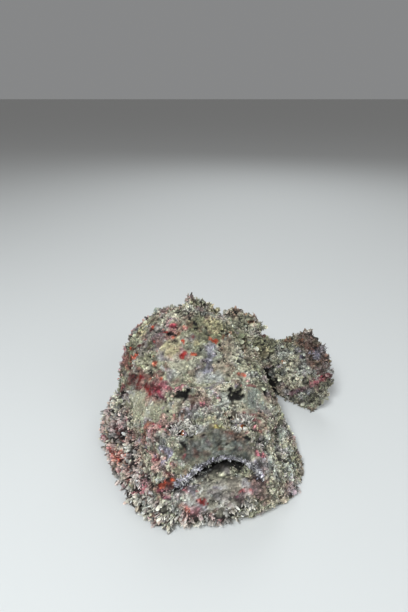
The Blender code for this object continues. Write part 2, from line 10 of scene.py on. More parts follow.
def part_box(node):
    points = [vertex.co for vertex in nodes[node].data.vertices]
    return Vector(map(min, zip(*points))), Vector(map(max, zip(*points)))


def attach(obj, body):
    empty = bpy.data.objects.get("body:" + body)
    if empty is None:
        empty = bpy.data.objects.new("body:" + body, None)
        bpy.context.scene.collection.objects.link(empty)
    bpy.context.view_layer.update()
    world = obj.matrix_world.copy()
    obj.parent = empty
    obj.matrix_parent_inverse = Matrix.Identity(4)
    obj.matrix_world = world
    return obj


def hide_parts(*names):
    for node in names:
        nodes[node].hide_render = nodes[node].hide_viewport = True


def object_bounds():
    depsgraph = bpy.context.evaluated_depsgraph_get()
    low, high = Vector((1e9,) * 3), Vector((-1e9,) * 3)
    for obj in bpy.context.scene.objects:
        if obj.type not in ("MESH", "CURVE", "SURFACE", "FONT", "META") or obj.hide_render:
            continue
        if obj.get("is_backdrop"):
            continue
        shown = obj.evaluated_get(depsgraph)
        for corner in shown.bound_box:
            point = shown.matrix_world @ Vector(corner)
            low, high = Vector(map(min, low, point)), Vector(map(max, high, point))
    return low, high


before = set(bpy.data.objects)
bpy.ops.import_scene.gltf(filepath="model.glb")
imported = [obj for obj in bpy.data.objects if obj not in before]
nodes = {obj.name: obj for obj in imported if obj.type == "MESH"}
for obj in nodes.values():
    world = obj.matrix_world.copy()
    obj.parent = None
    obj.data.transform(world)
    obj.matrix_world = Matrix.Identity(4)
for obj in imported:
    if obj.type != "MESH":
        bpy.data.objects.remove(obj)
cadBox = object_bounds()
print("stage: frame loaded,", len(nodes), "nodes")

finNodes = [
    "pectoral_fin_left", "pectoral_fin_right", "pelvic_fin_left", "pelvic_fin_right",
    "anal_fin", "dorsal_spines", "dorsal_soft_fin", "tail_fin",
]
eyeNodes = ["eye_left", "eye_right"]
fleshNodes = [name for name in sorted(nodes) if name not in eyeNodes]

# Colours of the skin, 0 to 255
colours = {
    "cream": (214, 208, 182),
    "straw": (218, 206, 160),
    "sand": (184, 180, 152),
    "greyGreen": (80, 88, 83),
    "white": (238, 235, 228),
    "chalk": (208, 210, 204),
    "lavender": (172, 166, 186),
    "mauve": (158, 142, 150),
    "pink": (216, 126, 138),
    "rose": (176, 66, 82),
    "red": (160, 38, 34),
    "orange": (216, 80, 42),
    "darkRed": (84, 27, 25),
    "brown": (122, 78, 66),
    "rust": (152, 90, 50),
    "magenta": (132, 52, 82),
    "purple": (92, 80, 116),
    "yellow": (204, 186, 92),
    "mint": (160, 168, 156),
    "olive": (132, 130, 96),
    # near black: mostly painted shade in creases, pits and gaps; on the snout and the lip band it gives
    # dark spots of the skin
    "crevice": (24, 21, 19),
}

# The photograph's view, in points of a picture 408 wide and 612 high
viewSettings = {
    "place": (0.0069, -0.2762, 0.265),
    "tilt": 28.4,
    "focal": 400.0,
    "middle": (204, 306),
    "height": 612,
    "rim": 0.0035,  # how far beside the solids a marking may be seen
    "searchFrom": 0.2,
    "searchStep": 0.001,
    "searchSteps": 300,
    "longestStreak": 0.03,
    "smallestRadius": 0.0009,
    "fineRadius": 2.5,  # up to this radius in the view, places are kept to a tenth of a millimetre
}

# Markings placed where the view sees them: across, down, radius, colour, strength.
# A streak has a second end after the first.
# The darkest markings are painted shade in pits, creases and gaps, such as the pits behind the eyes and
# the gap between the body and the tail.
markings = {
    "broadGrounds": [
        (172, 347, 11, "straw", 0.9), (176, 362, 10, "cream", 0.7), (165, 316, 9, "cream", 0.8),
        (180, 314, 8, "cream", 0.8), (140, 332, 7, "straw", 0.85), (149, 369, 5, "cream", 0.9),
        (140, 362, 4, "cream", 0.6), (205, 378, 12, "chalk", 0.7), (217, 377, 9, "chalk", 0.6),
        (195, 365, 8, "greyGreen", 0.4), (192, 375, 6, "sand", 0.6), (200, 350, 5, "greyGreen", 0.35),
        (212, 347, 208, 368, 6, "lavender", 0.7), (203, 360, 3.5, "mauve", 0.6),
        (163, 385, 180, 386, 5, "pink", 0.75), (168, 370, 171, 380, 3.5, "mauve", 0.6),
        (150, 350, 162, 358, 4, "mauve", 0.45), (145, 340, 5, "mauve", 0.5), (151, 316, 5, "mauve", 0.5),
        (140, 405, 16, "sand", 0.85), (157, 411, 9, "sand", 0.85), (120, 410, 7, "sand", 0.75),
        (145, 395, 5, "cream", 0.6), (150, 402, 4, "chalk", 0.7), (178, 405, 7, "cream", 0.9),
        (187, 404, 4, "cream", 0.8), (170, 404, 4, "chalk", 0.7), (176, 413, 6, "sand", 0.6),
        (213, 402, 5, "cream", 0.7), (237, 404, 6, "cream", 0.95), (252, 402, 11, "mint", 0.85),
        (255, 393, 8, "mint", 0.8), (263, 404, 5, "mint", 0.8), (265, 440, 6, "mint", 0.5),
        (250, 418, 8, "mint", 0.4), (213, 423, 7, "straw", 0.5), (215, 448, 24, "greyGreen", 0.8),
        (190, 450, 14, "greyGreen", 0.8), (240, 450, 14, "greyGreen", 0.85), (182, 448, 6, "olive", 0.5),
        (196, 452, 6, "brown", 0.45), (163, 441, 5, "greyGreen", 0.7), (215, 310, 12, "straw", 0.7),
        (215, 325, 10, "straw", 0.8), (235, 345, 10, "cream", 0.6), (250, 335, 8, "cream", 0.7),
        (245, 317, 8, "sand", 0.6), (227, 372, 8, "cream", 0.6), (235, 360, 8, "cream", 0.6),
        (262, 350, 8, "straw", 0.5), (245, 365, 8, "olive", 0.4), (290, 365, 9, "cream", 0.9),
        (292, 378, 8, "cream", 0.9), (283, 372, 5, "chalk", 0.7), (300, 383, 5, "cream", 0.7),
        (285, 388, 4, "cream", 0.7), (140, 458, 6, "cream", 0.7), (148, 470, 8, "cream", 0.6),
        (163, 507, 8, "cream", 0.9), (172, 513, 6, "cream", 0.8), (187, 502, 4, "white", 0.8),
        (212, 512, 8, "cream", 0.5), (235, 505, 7, "cream", 0.5), (160, 525, 175, 527, 4, "chalk", 0.7),
        (145, 518, 4, "cream", 0.5), (188, 517, 5, "cream", 0.6), (205, 485, 240, 485, 9, "cream", 0.55),
        (205, 478, 250, 478, 4, "brown", 0.45), (220, 492, 12, "mauve", 0.35),
        (245, 485, 5, "lavender", 0.5), (192, 490, 6, "lavender", 0.5), (275, 446, 7, "chalk", 0.8),
        (285, 453, 7, "chalk", 0.8), (270, 463, 5, "chalk", 0.8), (290, 466, 6, "chalk", 0.8),
        (280, 457, 4, "cream", 0.7), (277, 475, 7, "chalk", 0.8), (290, 478, 6, "chalk", 0.7),
        (268, 478, 5, "cream", 0.6), (272, 487, 5, "sand", 0.6), (318, 356, 14, "brown", 0.75),
        (308, 341, 12, "brown", 0.8), (140, 384, 158, 390, 7, "rose", 0.55), (134, 374, 8, "brown", 0.6),
        (140, 350, 10, "mauve", 0.5), (155, 330, 12, "mauve", 0.5), (165, 488, 9, "rose", 0.6),
        (120, 440, 12, "brown", 0.6), (135, 470, 12, "pink", 0.35), (190, 515, 12, "pink", 0.5),
        (258, 472, 6, "greyGreen", 0.6), (322, 350, 5, "sand", 0.4), (318, 372, 6, "mauve", 0.5),
    ],
    "napeAndFlank": [
        (148, 323, 4, "straw", 0.8), (134, 324, 131, 344, 2, "rose", 0.75),
        (136, 326, 142, 324, 1.5, "rust", 0.7), (144, 312, 150, 312, 1.5, "magenta", 0.5),
        (176, 305, 3, "magenta", 0.65), (160, 309, 2, "purple", 0.5),
        (170, 318, 178, 320, 1.5, "mauve", 0.7), (151, 330, 157, 324, 2.4, "darkRed", 0.95),
        (158, 331, 166, 331, 2.8, "darkRed", 0.95), (153, 329, 2, "crevice", 0.85),
        (167, 326, 2, "crevice", 0.85), (168, 333, 176, 335, 1.6, "crevice", 0.7),
        (166, 331, 2, "red", 0.8), (171, 325, 176, 325, 2.4, "rose", 0.95),
        (152, 338, 3, "darkRed", 0.85), (153, 340, 1.8, "red", 0.8), (186, 327, 2.5, "rose", 0.7),
        (178, 334, 2.4, "rust", 0.95), (183, 340, 2.9, "orange", 1), (193, 337, 1.6, "red", 0.9),
        (192, 354, 196, 354, 1.8, "orange", 0.95), (181, 357, 185, 353, 2.5, "red", 0.95),
        (212, 339, 217, 342, 2.4, "orange", 1), (196, 343, 4, "straw", 0.85),
        (188, 349, 2, "magenta", 0.5), (133, 350, 142, 345, 2.6, "darkRed", 0.9),
        (148, 348, 2.4, "darkRed", 0.8), (151, 352, 2, "darkRed", 0.6),
        (131, 359, 137, 354, 2.8, "orange", 0.95), (142, 354, 2.2, "crevice", 0.8),
        (136, 360, 1.8, "crevice", 0.7), (151, 357, 1.6, "crevice", 0.7), (157, 364, 3.3, "orange", 0.95),
        (161, 367, 164, 370, 1.8, "white", 0.85), (163, 373, 1.3, "crevice", 0.8),
        (161, 379, 3, "orange", 0.9), (151, 379, 3, "orange", 0.95), (143, 378, 2.4, "rose", 0.9),
        (157, 375, 2, "rose", 0.8), (137, 384, 140, 379, 3.1, "red", 1), (129, 384, 2.8, "red", 0.9),
        (128, 375, 134, 377, 2.7, "darkRed", 0.95), (137, 371, 2, "crevice", 0.7),
        (125, 370, 133, 370, 1.5, "darkRed", 0.6), (124, 386, 4.6, "rose", 0.85),
        (145, 386, 150, 391, 3.2, "red", 1), (155, 388, 159, 394, 3.1, "rose", 1),
        (160, 396, 165, 399, 2, "magenta", 0.9), (152, 395, 166, 403, 1.2, "crevice", 0.8),
        (140, 387, 3, "rose", 0.7), (118, 392, 127, 392, 2, "crevice", 0.8),
        (124, 397, 3.5, "purple", 0.65), (128, 391, 133, 393, 1.5, "white", 0.7),
        (205, 387, 212, 387, 1.7, "purple", 0.6), (216, 353, 1.6, "darkRed", 0.8),
        (221, 352, 224, 356, 2.1, "crevice", 0.45), (218, 361, 2.1, "crevice", 0.9),
    ],
    "pits": [
        (181, 388, 2.6, "brown", 0.7), (236, 386, 3.4, "purple", 0.65),
        (170, 393, 178, 396, 3.4, "crevice", 1), (179, 396, 186, 393, 5.8, "crevice", 1),
        (186, 397, 4.6, "crevice", 1), (229, 397, 243, 397, 3.4, "crevice", 1),
        (231, 391, 4, "crevice", 1), (236, 395, 4.4, "crevice", 1), (241, 391, 2.4, "rose", 0.65),
        (241, 386, 1.6, "rose", 0.6), (169, 388, 184, 385, 2, "pink", 0.8),
    ],
    "cheekAndFin": [
        (107, 400, 106, 412, 2.6, "rose", 0.65), (110, 402, 116, 398, 2, "darkRed", 0.6),
        (125, 410, 3, "olive", 0.6), (117, 411, 1.6, "yellow", 0.7), (132, 415, 2.4, "rust", 0.8),
        (118, 416, 122, 417, 1.3, "crevice", 0.7), (113, 409, 117, 413, 1.4, "white", 0.8),
        (106, 420, 108, 427, 2.2, "red", 0.7), (117, 431, 122, 440, 6, "darkRed", 1),
        (112, 434, 3, "darkRed", 0.8), (121, 427, 3, "darkRed", 0.9), (126, 436, 2.5, "chalk", 1),
        (126, 440, 2, "crevice", 0.95), (130, 431, 3, "pink", 0.7), (134, 436, 2.4, "magenta", 0.6),
        (130, 442, 2.6, "rose", 0.6), (104, 436, 109, 441, 2.4, "pink", 0.8), (112, 446, 3, "red", 0.85),
        (113, 450, 2.9, "orange", 0.95), (114, 454, 119, 456, 2.5, "orange", 1),
        (120, 456, 127, 455, 2.7, "orange", 1), (118, 460, 2, "rust", 0.8),
        (119, 461, 124, 466, 2.3, "rust", 0.95), (121, 467, 123, 472, 2.5, "rose", 0.9),
        (129, 479, 2.6, "red", 0.8), (132, 482, 142, 486, 2, "pink", 0.9),
        (135, 491, 146, 489, 3, "pink", 0.95), (144, 496, 2.2, "red", 0.7), (148, 499, 3, "rust", 0.6),
        (130, 496, 135, 494, 1.4, "white", 0.9), (148, 425, 145, 434, 4.6, "rust", 0.75),
        (153, 433, 155, 440, 4.2, "brown", 0.85), (151, 443, 3.5, "brown", 0.6),
        (152, 423, 160, 426, 2, "rose", 0.9), (160, 420, 2.4, "mauve", 0.8), (155, 431, 2, "rose", 0.7),
        (139, 440, 145, 447, 3.5, "mauve", 0.8), (140, 451, 2, "crevice", 0.7),
        (147, 451, 2.5, "rose", 0.7), (133, 462, 1.6, "rust", 0.9),
        (137, 463, 143, 465, 1.4, "brown", 0.9), (150, 463, 1.3, "brown", 0.8),
        (155, 456, 2, "purple", 0.7), (153, 460, 160, 459, 2.1, "rose", 0.9),
        (139, 474, 147, 474, 1.7, "rose", 0.8), (150, 478, 2.6, "pink", 0.8),
        (153, 482, 2.6, "rose", 0.9), (130, 470, 2, "brown", 0.6), (134, 476, 2, "brown", 0.5),
        (160, 449, 170, 452, 4, "lavender", 0.85), (168, 456, 163, 463, 4, "lavender", 0.85),
        (161, 458, 3, "chalk", 0.8), (163, 452, 1.9, "brown", 0.8), (158, 449, 2.4, "chalk", 0.9),
        (170, 464, 2.2, "red", 0.9), (171, 462, 176, 465, 1.6, "darkRed", 0.7),
        (162, 469, 3, "greyGreen", 0.6), (167, 473, 171, 474, 2.5, "darkRed", 1),
        (156, 480, 164, 478, 1.7, "chalk", 0.8), (161, 486, 172, 482, 4.6, "orange", 1),
        (172, 486, 3, "red", 0.95), (170, 489, 3, "rose", 0.9), (160, 491, 171, 492, 3.3, "magenta", 0.7),
        (161, 497, 168, 499, 2.6, "magenta", 0.75), (158, 484, 2, "red", 0.9),
        (158, 483, 171, 477, 1.4, "crevice", 1),
    ],
    "chinAndJaw": [
        (187, 510, 3.5, "orange", 1), (190, 514, 2.2, "pink", 0.9), (182, 518, 3, "pink", 0.6),
        (200, 500, 205, 504, 3, "red", 1), (206, 506, 1.7, "darkRed", 0.9),
        (198, 500, 1.4, "orange", 0.8), (183, 490, 187, 493, 2, "rose", 0.7),
        (178, 495, 2.5, "white", 0.9), (240, 492, 251, 491, 2, "orange", 0.75),
        (241, 492, 251, 492, 2.4, "pink", 0.6), (238, 497, 2, "magenta", 0.7),
        (201, 489, 2, "lavender", 0.6), (197, 491, 2, "rose", 0.6),
        (214, 488, 222, 489, 1.3, "purple", 0.6), (206, 507, 2, "purple", 0.6),
        (216, 511, 2.2, "brown", 0.8), (224, 507, 2, "crevice", 0.6),
        (213, 503, 219, 503, 1.3, "crevice", 0.8), (150, 509, 2.4, "brown", 0.8),
        (153, 511, 2.4, "straw", 0.8), (173, 522, 2, "brown", 0.8), (150, 516, 2.6, "crevice", 0.7),
        (210, 517, 6, "pink", 0.45), (222, 519, 4, "pink", 0.5), (248, 500, 4, "cream", 0.8),
        (253, 493, 3, "pink", 0.5), (245, 506, 3, "chalk", 0.7),
    ],
    "eyesAndSnout": [
        (167, 411, 2.5, "crevice", 0.7), (163, 408, 2.5, "mauve", 0.6),
        (181, 422, 184, 410, 1.9, "rust", 0.6), (174, 420, 175, 414, 1.8, "rose", 0.5),
        (194, 403, 2.7, "darkRed", 0.95), (201, 404, 207, 405, 2.1, "pink", 0.9),
        (201, 400, 206, 399, 1.4, "darkRed", 0.6), (219, 398, 1.7, "rose", 0.9),
        (205, 408, 225, 405, 1.1, "crevice", 0.8), (207, 412, 219, 410, 4, "brown", 0.45),
        (207, 411, 2, "crevice", 0.6), (213, 414, 1.6, "crevice", 0.6), (217, 409, 1.6, "crevice", 0.6),
        (242, 407, 1.9, "crevice", 0.9), (259, 414, 263, 416, 1.5, "crevice", 0.8),
        (267, 409, 1.6, "crevice", 0.9), (244, 412, 256, 416, 1.6, "rose", 0.6),
        (224, 414, 1.6, "rust", 0.8), (224, 419, 2.5, "mauve", 0.6),
        (215, 427, 222, 426, 2.2, "yellow", 0.9), (189, 426, 200, 430, 4.6, "white", 0.95),
        (178, 429, 3, "lavender", 0.8), (170, 427, 174, 424, 2, "crevice", 0.95),
        (182, 433, 3.5, "pink", 0.6), (190, 436, 3, "white", 0.8), (203, 435, 1.6, "crevice", 0.9),
        (166, 429, 2.2, "rose", 0.6), (169, 432, 3, "rust", 0.7), (174, 440, 184, 440, 2.2, "crevice", 1),
        (182, 441, 187, 446, 3.2, "crevice", 1), (236, 426, 4.6, "white", 1), (229, 428, 3, "straw", 0.9),
        (232, 419, 3, "rust", 0.35), (241, 423, 247, 431, 2.6, "rose", 0.75), (246, 430, 2, "white", 0.8),
        (243, 421, 2, "pink", 0.7), (250, 425, 2, "crevice", 0.6), (253, 420, 259, 422, 2, "rose", 0.8),
        (260, 427, 2.4, "magenta", 0.7), (254, 428, 2.6, "pink", 0.7),
        (255, 431, 262, 431, 1.4, "rose", 0.7), (271, 417, 273, 420, 2.3, "darkRed", 1),
        (272, 423, 1.8, "crevice", 0.9), (272, 430, 275, 426, 2, "darkRed", 1),
        (244, 435, 249, 440, 3.4, "crevice", 1), (250, 432, 2, "crevice", 0.8),
        (256, 441, 262, 443, 2.2, "crevice", 0.7), (193, 450, 198, 453, 2, "darkRed", 0.35),
        (185, 450, 184, 458, 1.7, "rose", 0.6), (208, 444, 3, "mauve", 0.5),
        (219, 444, 1.8, "crevice", 0.7), (226, 444, 1.8, "crevice", 0.6), (235, 437, 2.2, "crevice", 0.8),
        (226, 432, 232, 433, 1.6, "brown", 0.8), (219, 449, 225, 449, 1.3, "brown", 0.8),
        (240, 449, 2.2, "darkRed", 0.7), (210, 435, 4, "sand", 0.5), (252, 445, 4, "olive", 0.7),
        (230, 449, 3, "sand", 0.5), (257, 453, 263, 455, 3, "pink", 1), (256, 452, 1.5, "darkRed", 0.8),
        (266, 450, 2, "crevice", 0.6), (289, 451, 2.4, "straw", 0.7),
        (255, 461, 262, 478, 2.6, "lavender", 0.6),
    ],
    "backAndTail": [
        (228, 307, 1.8, "crevice", 0.9), (234, 311, 238, 315, 1.7, "crevice", 0.9),
        (226, 314, 1.6, "crevice", 0.8), (251, 314, 258, 311, 2, "crevice", 0.9),
        (227, 323, 236, 322, 2, "crevice", 0.95), (229, 333, 2, "crevice", 0.95),
        (252, 350, 257, 353, 1.9, "crevice", 0.95), (244, 346, 251, 344, 1.6, "crevice", 0.8),
        (247, 354, 1.6, "crevice", 0.8), (237, 346, 1.6, "crevice", 0.7),
        (262, 344, 267, 340, 1.8, "crevice", 0.9), (270, 347, 2.4, "crevice", 0.8),
        (257, 335, 262, 337, 1.7, "brown", 0.9), (259, 330, 271, 328, 1.6, "crevice", 0.9),
        (275, 340, 1.7, "crevice", 0.9), (255, 362, 275, 361, 1.8, "crevice", 0.7),
        (256, 375, 263, 366, 2.4, "crevice", 0.9), (244, 365, 1.8, "crevice", 0.7),
        (252, 374, 2, "crevice", 0.8), (204, 305, 1.8, "crevice", 0.8), (196, 310, 1.8, "crevice", 0.7),
        (195, 322, 2.4, "crevice", 0.8), (206, 318, 1.4, "crevice", 0.7), (215, 333, 1.4, "crevice", 0.6),
        (188, 312, 190, 318, 1.6, "crevice", 0.7), (240, 356, 1.5, "crevice", 0.6),
        (232, 368, 1.3, "crevice", 0.5), (249, 322, 255, 321, 1.9, "rust", 1),
        (222, 338, 231, 333, 2.1, "rust", 0.8), (247, 313, 2.6, "rust", 0.7),
        (239, 373, 245, 375, 1.9, "orange", 0.8), (247, 384, 256, 386, 2, "rose", 0.75),
        (252, 382, 2, "cream", 0.8), (248, 380, 1.6, "pink", 0.8),
        (262, 372, 275, 392, 3.6, "crevice", 1), (268, 386, 4, "crevice", 0.9),
        (281, 349, 3, "crevice", 0.95), (268, 368, 280, 365, 2.6, "lavender", 0.5),
        (275, 375, 3, "lavender", 0.5), (283, 338, 290, 341, 2.3, "rust", 0.9),
        (296, 350, 5, "lavender", 0.5), (316, 354, 5, "lavender", 0.9), (302, 357, 3, "purple", 0.85),
        (310, 360, 1.7, "darkRed", 0.6), (325, 350, 4, "lavender", 0.6), (300, 340, 5, "brown", 0.55),
        (310, 343, 5, "brown", 0.5), (301, 340, 2, "rust", 0.9), (296, 343, 2, "rust", 0.6),
        (318, 342, 5, "sand", 0.5), (308, 362, 320, 372, 3.4, "brown", 0.65),
        (332, 361, 334, 366, 2.4, "yellow", 1), (330, 371, 4, "chalk", 0.7),
        (284, 363, 287, 360, 1.9, "rust", 0.9), (322, 378, 327, 376, 2.8, "rose", 0.9),
        (311, 386, 320, 380, 2.6, "pink", 0.9), (293, 392, 304, 389, 3.1, "magenta", 0.7),
        (297, 391, 2.6, "purple", 0.7), (308, 393, 3, "lavender", 0.7), (302, 397, 2.4, "chalk", 0.7),
        (319, 373, 2, "rose", 0.7), (303, 365, 305, 378, 2.6, "mauve", 0.5),
        (288, 388, 1.6, "crevice", 0.9), (303, 380, 1.5, "crevice", 0.8), (280, 380, 1.5, "crevice", 0.7),
        (296, 372, 1.2, "brown", 0.7), (290, 383, 1.2, "brown", 0.7), (313, 360, 1.8, "crevice", 0.7),
        (306, 368, 1.4, "crevice", 0.6), (321, 362, 1.6, "crevice", 0.6),
        (267, 374, 272, 391, 7, "crevice", 1), (262, 380, 266, 392, 4.5, "crevice", 0.9),
        (274, 372, 279, 384, 3, "crevice", 0.6), (118, 428, 124, 441, 4.5, "darkRed", 0.85),
        (114, 436, 120, 446, 3, "crevice", 0.7), (122, 446, 130, 452, 3, "crevice", 0.6),
        (128, 381, 138, 386, 4, "darkRed", 0.7), (146, 385, 158, 389, 3.5, "darkRed", 0.6),
        (133, 460, 140, 474, 3, "crevice", 0.6), (146, 474, 152, 486, 3, "crevice", 0.65),
        (138, 486, 146, 496, 2.5, "crevice", 0.6), (128, 446, 133, 456, 2.5, "white", 0.8),
        (137, 476, 141, 484, 2.2, "white", 0.8), (150, 492, 156, 498, 2.4, "white", 0.8),
        (130, 383, 156, 386, 8, "darkRed", 0.3), (172, 391, 186, 395, 5.5, "crevice", 1),
        (231, 393, 241, 390, 3.5, "crevice", 0.9), (116, 452, 122, 460, 3.2, "orange", 0.8),
        (112, 444, 116, 452, 2.6, "red", 0.7),
    ],
}


def linear(colour):
    share = np.asarray(colour, float) / 255.0
    return np.where(share <= 0.04045, share / 12.92, ((share + 0.055) / 1.055) ** 2.4)


def ease(value, low, high):
    share = np.clip((value - low) / (high - low), 0.0, 1.0)
    return share * share * (3.0 - 2.0 * share)


def noiseAt(points, scale, shift=0.0, octaves=1):
    offset = Vector((shift, 2.3 * shift, 5.1 * shift))
    if octaves == 1:
        values = [noise.noise(Vector(p) * scale + offset) for p in points]
    else:
        values = [noise.fractal(Vector(p) * scale + offset, 0.9, 2.1, octaves) for p in points]
    return np.array(values)


def cellsAt(points, size, shift):
    # how far each point is from the middle of its cell
    offset = Vector((shift, 1.7 * shift, 3.9 * shift))
    return np.array([noise.voronoi(Vector(p) / size + offset)[0][0] for p in points])


def smoothed(values, edges, passes):
    # averages each point with its neighbours
    count = np.bincount(edges.ravel(), minlength=len(values)).astype(float)
    flat = values.reshape(len(values), -1).astype(float)
    for _ in range(passes):
        total = np.zeros_like(flat)
        for column in range(flat.shape[1]):
            total[:, column] += np.bincount(edges[:, 0], flat[edges[:, 1], column], len(flat))
            total[:, column] += np.bincount(edges[:, 1], flat[edges[:, 0], column], len(flat))
        flat = 0.4 * flat + 0.6 * total / np.maximum(count, 1)[:, None]
    return flat.reshape(values.shape)


def addPiece(name, mesh, smooth=True):
    piece = bpy.data.objects.new(name, mesh)
    bpy.context.scene.collection.objects.link(piece)
    mesh.polygons.foreach_set("use_smooth", [smooth] * len(mesh.polygons))
    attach(piece, "root")
    return piece


def joinedNodes(names, swell, finSwell):
    # one loose mesh of the named nodes, each swollen a little so that they meet
    whole = bmesh.new()
    for name in names:
        part = bmesh.new()
        part.from_mesh(nodes[name].data)
        bmesh.ops.remove_doubles(part, verts=part.verts, dist=0.00002)
        part.normal_update()
        reach = finSwell if name in finNodes else swell
        for point in part.verts:
            point.co += point.normal * reach
        mesh = bpy.data.meshes.new(name + "Copy")
        part.to_mesh(mesh)
        whole.from_mesh(mesh)
        part.free()
        bpy.data.meshes.remove(mesh)
    mesh = bpy.data.meshes.new("joined")
    whole.to_mesh(mesh)
    whole.free()
    return mesh


def remeshed(mesh, voxel):
    holder = bpy.data.objects.new("holder", mesh)
    bpy.context.scene.collection.objects.link(holder)
    change = holder.modifiers.new("remesh", "REMESH")
    change.mode = "VOXEL"
    change.voxel_size = voxel
    bpy.context.view_layer.update()
    shown = holder.evaluated_get(bpy.context.evaluated_depsgraph_get())
    result = bpy.data.meshes.new_from_object(shown)
    bpy.data.objects.remove(holder)
    return result


def keepOuter(mesh):
    # keeps the largest closed surface
    bm = bmesh.new()
    bm.from_mesh(mesh)
    unseen = set(bm.verts)
    largest = []
    while unseen:
        front = [unseen.pop()]
        island = list(front)
        while front:
            point = front.pop()
            for edge in point.link_edges:
                other = edge.other_vert(point)
                if other in unseen:
                    unseen.remove(other)
                    front.append(other)
                    island.append(other)
        if len(island) > len(largest):
            largest = island
    kept = set(largest)
    bmesh.ops.delete(bm, geom=[v for v in bm.verts if v not in kept], context="VERTS")
    bm.to_mesh(mesh)
    bm.free()


def pointsOf(mesh):
    points = np.zeros(len(mesh.vertices) * 3)
    mesh.vertices.foreach_get("co", points)
    return points.reshape(-1, 3)


def normalsOf(mesh):
    normals = np.zeros(len(mesh.vertices) * 3)
    mesh.vertex_normals.foreach_get("vector", normals)
    return normals.reshape(-1, 3)


def unit(vectors):
    return vectors / np.maximum(np.linalg.norm(vectors, axis=1, keepdims=True), 1e-9)


def edgesOf(mesh):
    edges = np.zeros(len(mesh.edges) * 2, int)
    mesh.edges.foreach_get("vertices", edges)
    return edges.reshape(-1, 2)


def setPoints(mesh, points):
    mesh.vertices.foreach_set("co", points.ravel())
    mesh.update()


def setTint(mesh, tint):
    # the colour of each point, read by the materials
    attribute = mesh.color_attributes.new("tint", "FLOAT_COLOR", "POINT")
    full = np.concatenate([tint, np.ones((len(tint), 1))], axis=1)
    attribute.data.foreach_set("color", full.astype(np.float32).ravel())


# The skin: one surface over the head, trunk, tail and fins
skinSettings = {
    "voxel": 0.00127,
    "swell": 0.0003,
    "finSwell": 0.0005,
    "sink": 0.0003,
    "floorGap": 0.0003,
    "lumpHeight": 0.0016,
    "wartHeight": 0.0017,
    "wartSize": 0.0105,
    "grainHeight": 0.0010,
    "grainSize": 0.0050,
    "pitDepth": 0.0026,
    "foldHeight": 0.0010,
    "hollowDepth": 0.0016,
    "armDepth": 0.0022,
    "bandHeight": 0.0007,
    "bandWidth": 0.0011,
    "bandEdge": 0.0006,
    "snoutCentre": (0.0150, -0.083, 0.050),
    "snoutReach": (0.032, 0.014, 0.018),
    "jawCentre": (0.0185, -0.104, 0.012),
    "jawMiddle": (0.0180, -0.101, 0.027),
    "jawReach": (0.029, 0.020, 0.014),
    "napeCentre": (-0.012, -0.022, 0.075),
    "napeReach": (1.25, 1.0, 1.0),
}

# Lines along the upper lip, the two ends of the mouth below it and the chin. Two numbers are a
# point of the view, three are a place in metres.
lineRows = {
    "lip": [
        (-0.0112, -0.0992, 0.0340), (186, 479), (192, 474), (198, 469), (205, 464.5), (212, 461),
        (220, 458.5), (228, 457.5), (236, 458.5), (243, 461), (250, 465), (256, 470), (261.5, 474.9),
    ],
    "leftEnd": [(174, 492), (180, 488.5), (186, 485)],
    "rightEnd": [(0.0390, -0.0905, 0.0350), (0.0412, -0.0915, 0.0325), (259, 481)],
    "chin": [
        (-0.030, -0.103, 0.014), (175, 516), (190, 521), (205, 521), (220, 521), (235, 515), (246, 507),
    ],
}
# Smoother places of the skin: place, radius, share
calmPlaces = [
    ((-0.042, -0.040, 0.049), 0.016, 0.75), ((-0.030, -0.049, 0.053), 0.010, 0.70),
    ((-0.058, -0.028, 0.036), 0.010, 0.60), ((0.045, -0.043, 0.055), 0.016, 0.80),
    ((0.052, -0.034, 0.050), 0.012, 0.70), ((-0.017, -0.013, 0.081), 0.013, 0.45),
    ((0.012, -0.028, 0.065), 0.012, 0.50), ((0.036, -0.045, 0.058), 0.008, 0.60),
]

skinMesh = remeshed(
    joinedNodes(fleshNodes, skinSettings["swell"], skinSettings["finSwell"]), skinSettings["voxel"]
)
keepOuter(skinMesh)
print("stage: skin remeshed,", len(skinMesh.vertices), "points")

ownerNames = []
ownerMesh = bmesh.new()
for name in fleshNodes:
    ownerMesh.from_mesh(nodes[name].data)
    ownerNames += [name] * (len(ownerMesh.faces) - len(ownerNames))
ownerTree = BVHTree.FromBMesh(ownerMesh)
ownerMesh.free()
solidsMesh = bmesh.new()
for node in nodes.values():
    solidsMesh.from_mesh(node.data)
solidsTree = BVHTree.FromBMesh(solidsMesh)
solidsMesh.free()

points = pointsOf(skinMesh)
edges = edgesOf(skinMesh)
owners = np.array([ownerNames[ownerTree.find_nearest(Vector(p))[2]] for p in points])
points = smoothed(points, edges, 2)
setPoints(skinMesh, points)
normals = normalsOf(skinMesh)

finShare = smoothed(np.isin(owners, finNodes).astype(float), edges, 4)
jawShare = smoothed(np.isin(owners, ["lower_jaw"]).astype(float), edges, 4)
lipShare = smoothed(np.isin(owners, ["upper_lip", "lower_lip"]).astype(float), edges, 1)
trunkShare = ease(points[:, 1], -0.035, 0.0) * (1 - finShare)
snoutOffset = (points - np.array(skinSettings["snoutCentre"])) / np.array(skinSettings["snoutReach"])
snoutShare = np.exp(-np.sum(snoutOffset**2, axis=1)) * (1 - lipShare)
jawOffset = (points - np.array(skinSettings["jawMiddle"])) / np.array(skinSettings["jawReach"])
jawFace = ease(np.exp(-np.sum(jawOffset**2, axis=1)), 0.25, 0.6) * (1 - lipShare)
underShare = ease(-normals[:, 2], 0.3, 0.8) * ease(-points[:, 2], -0.018, -0.006)


def gapTo(points, start, end):
    # the distance of each point from the line between two places
    start, end = np.array(start), np.array(end)
    along = end - start
    length = max(float(along @ along), 1e-12)
    share = np.clip((points - start) @ along / length, 0, 1)
    return np.linalg.norm(points - start - share[:, None] * along, axis=1)


def gapToLine(points, line):
    return np.min([gapTo(points, a, b) for a, b in zip(line, line[1:])], axis=0)


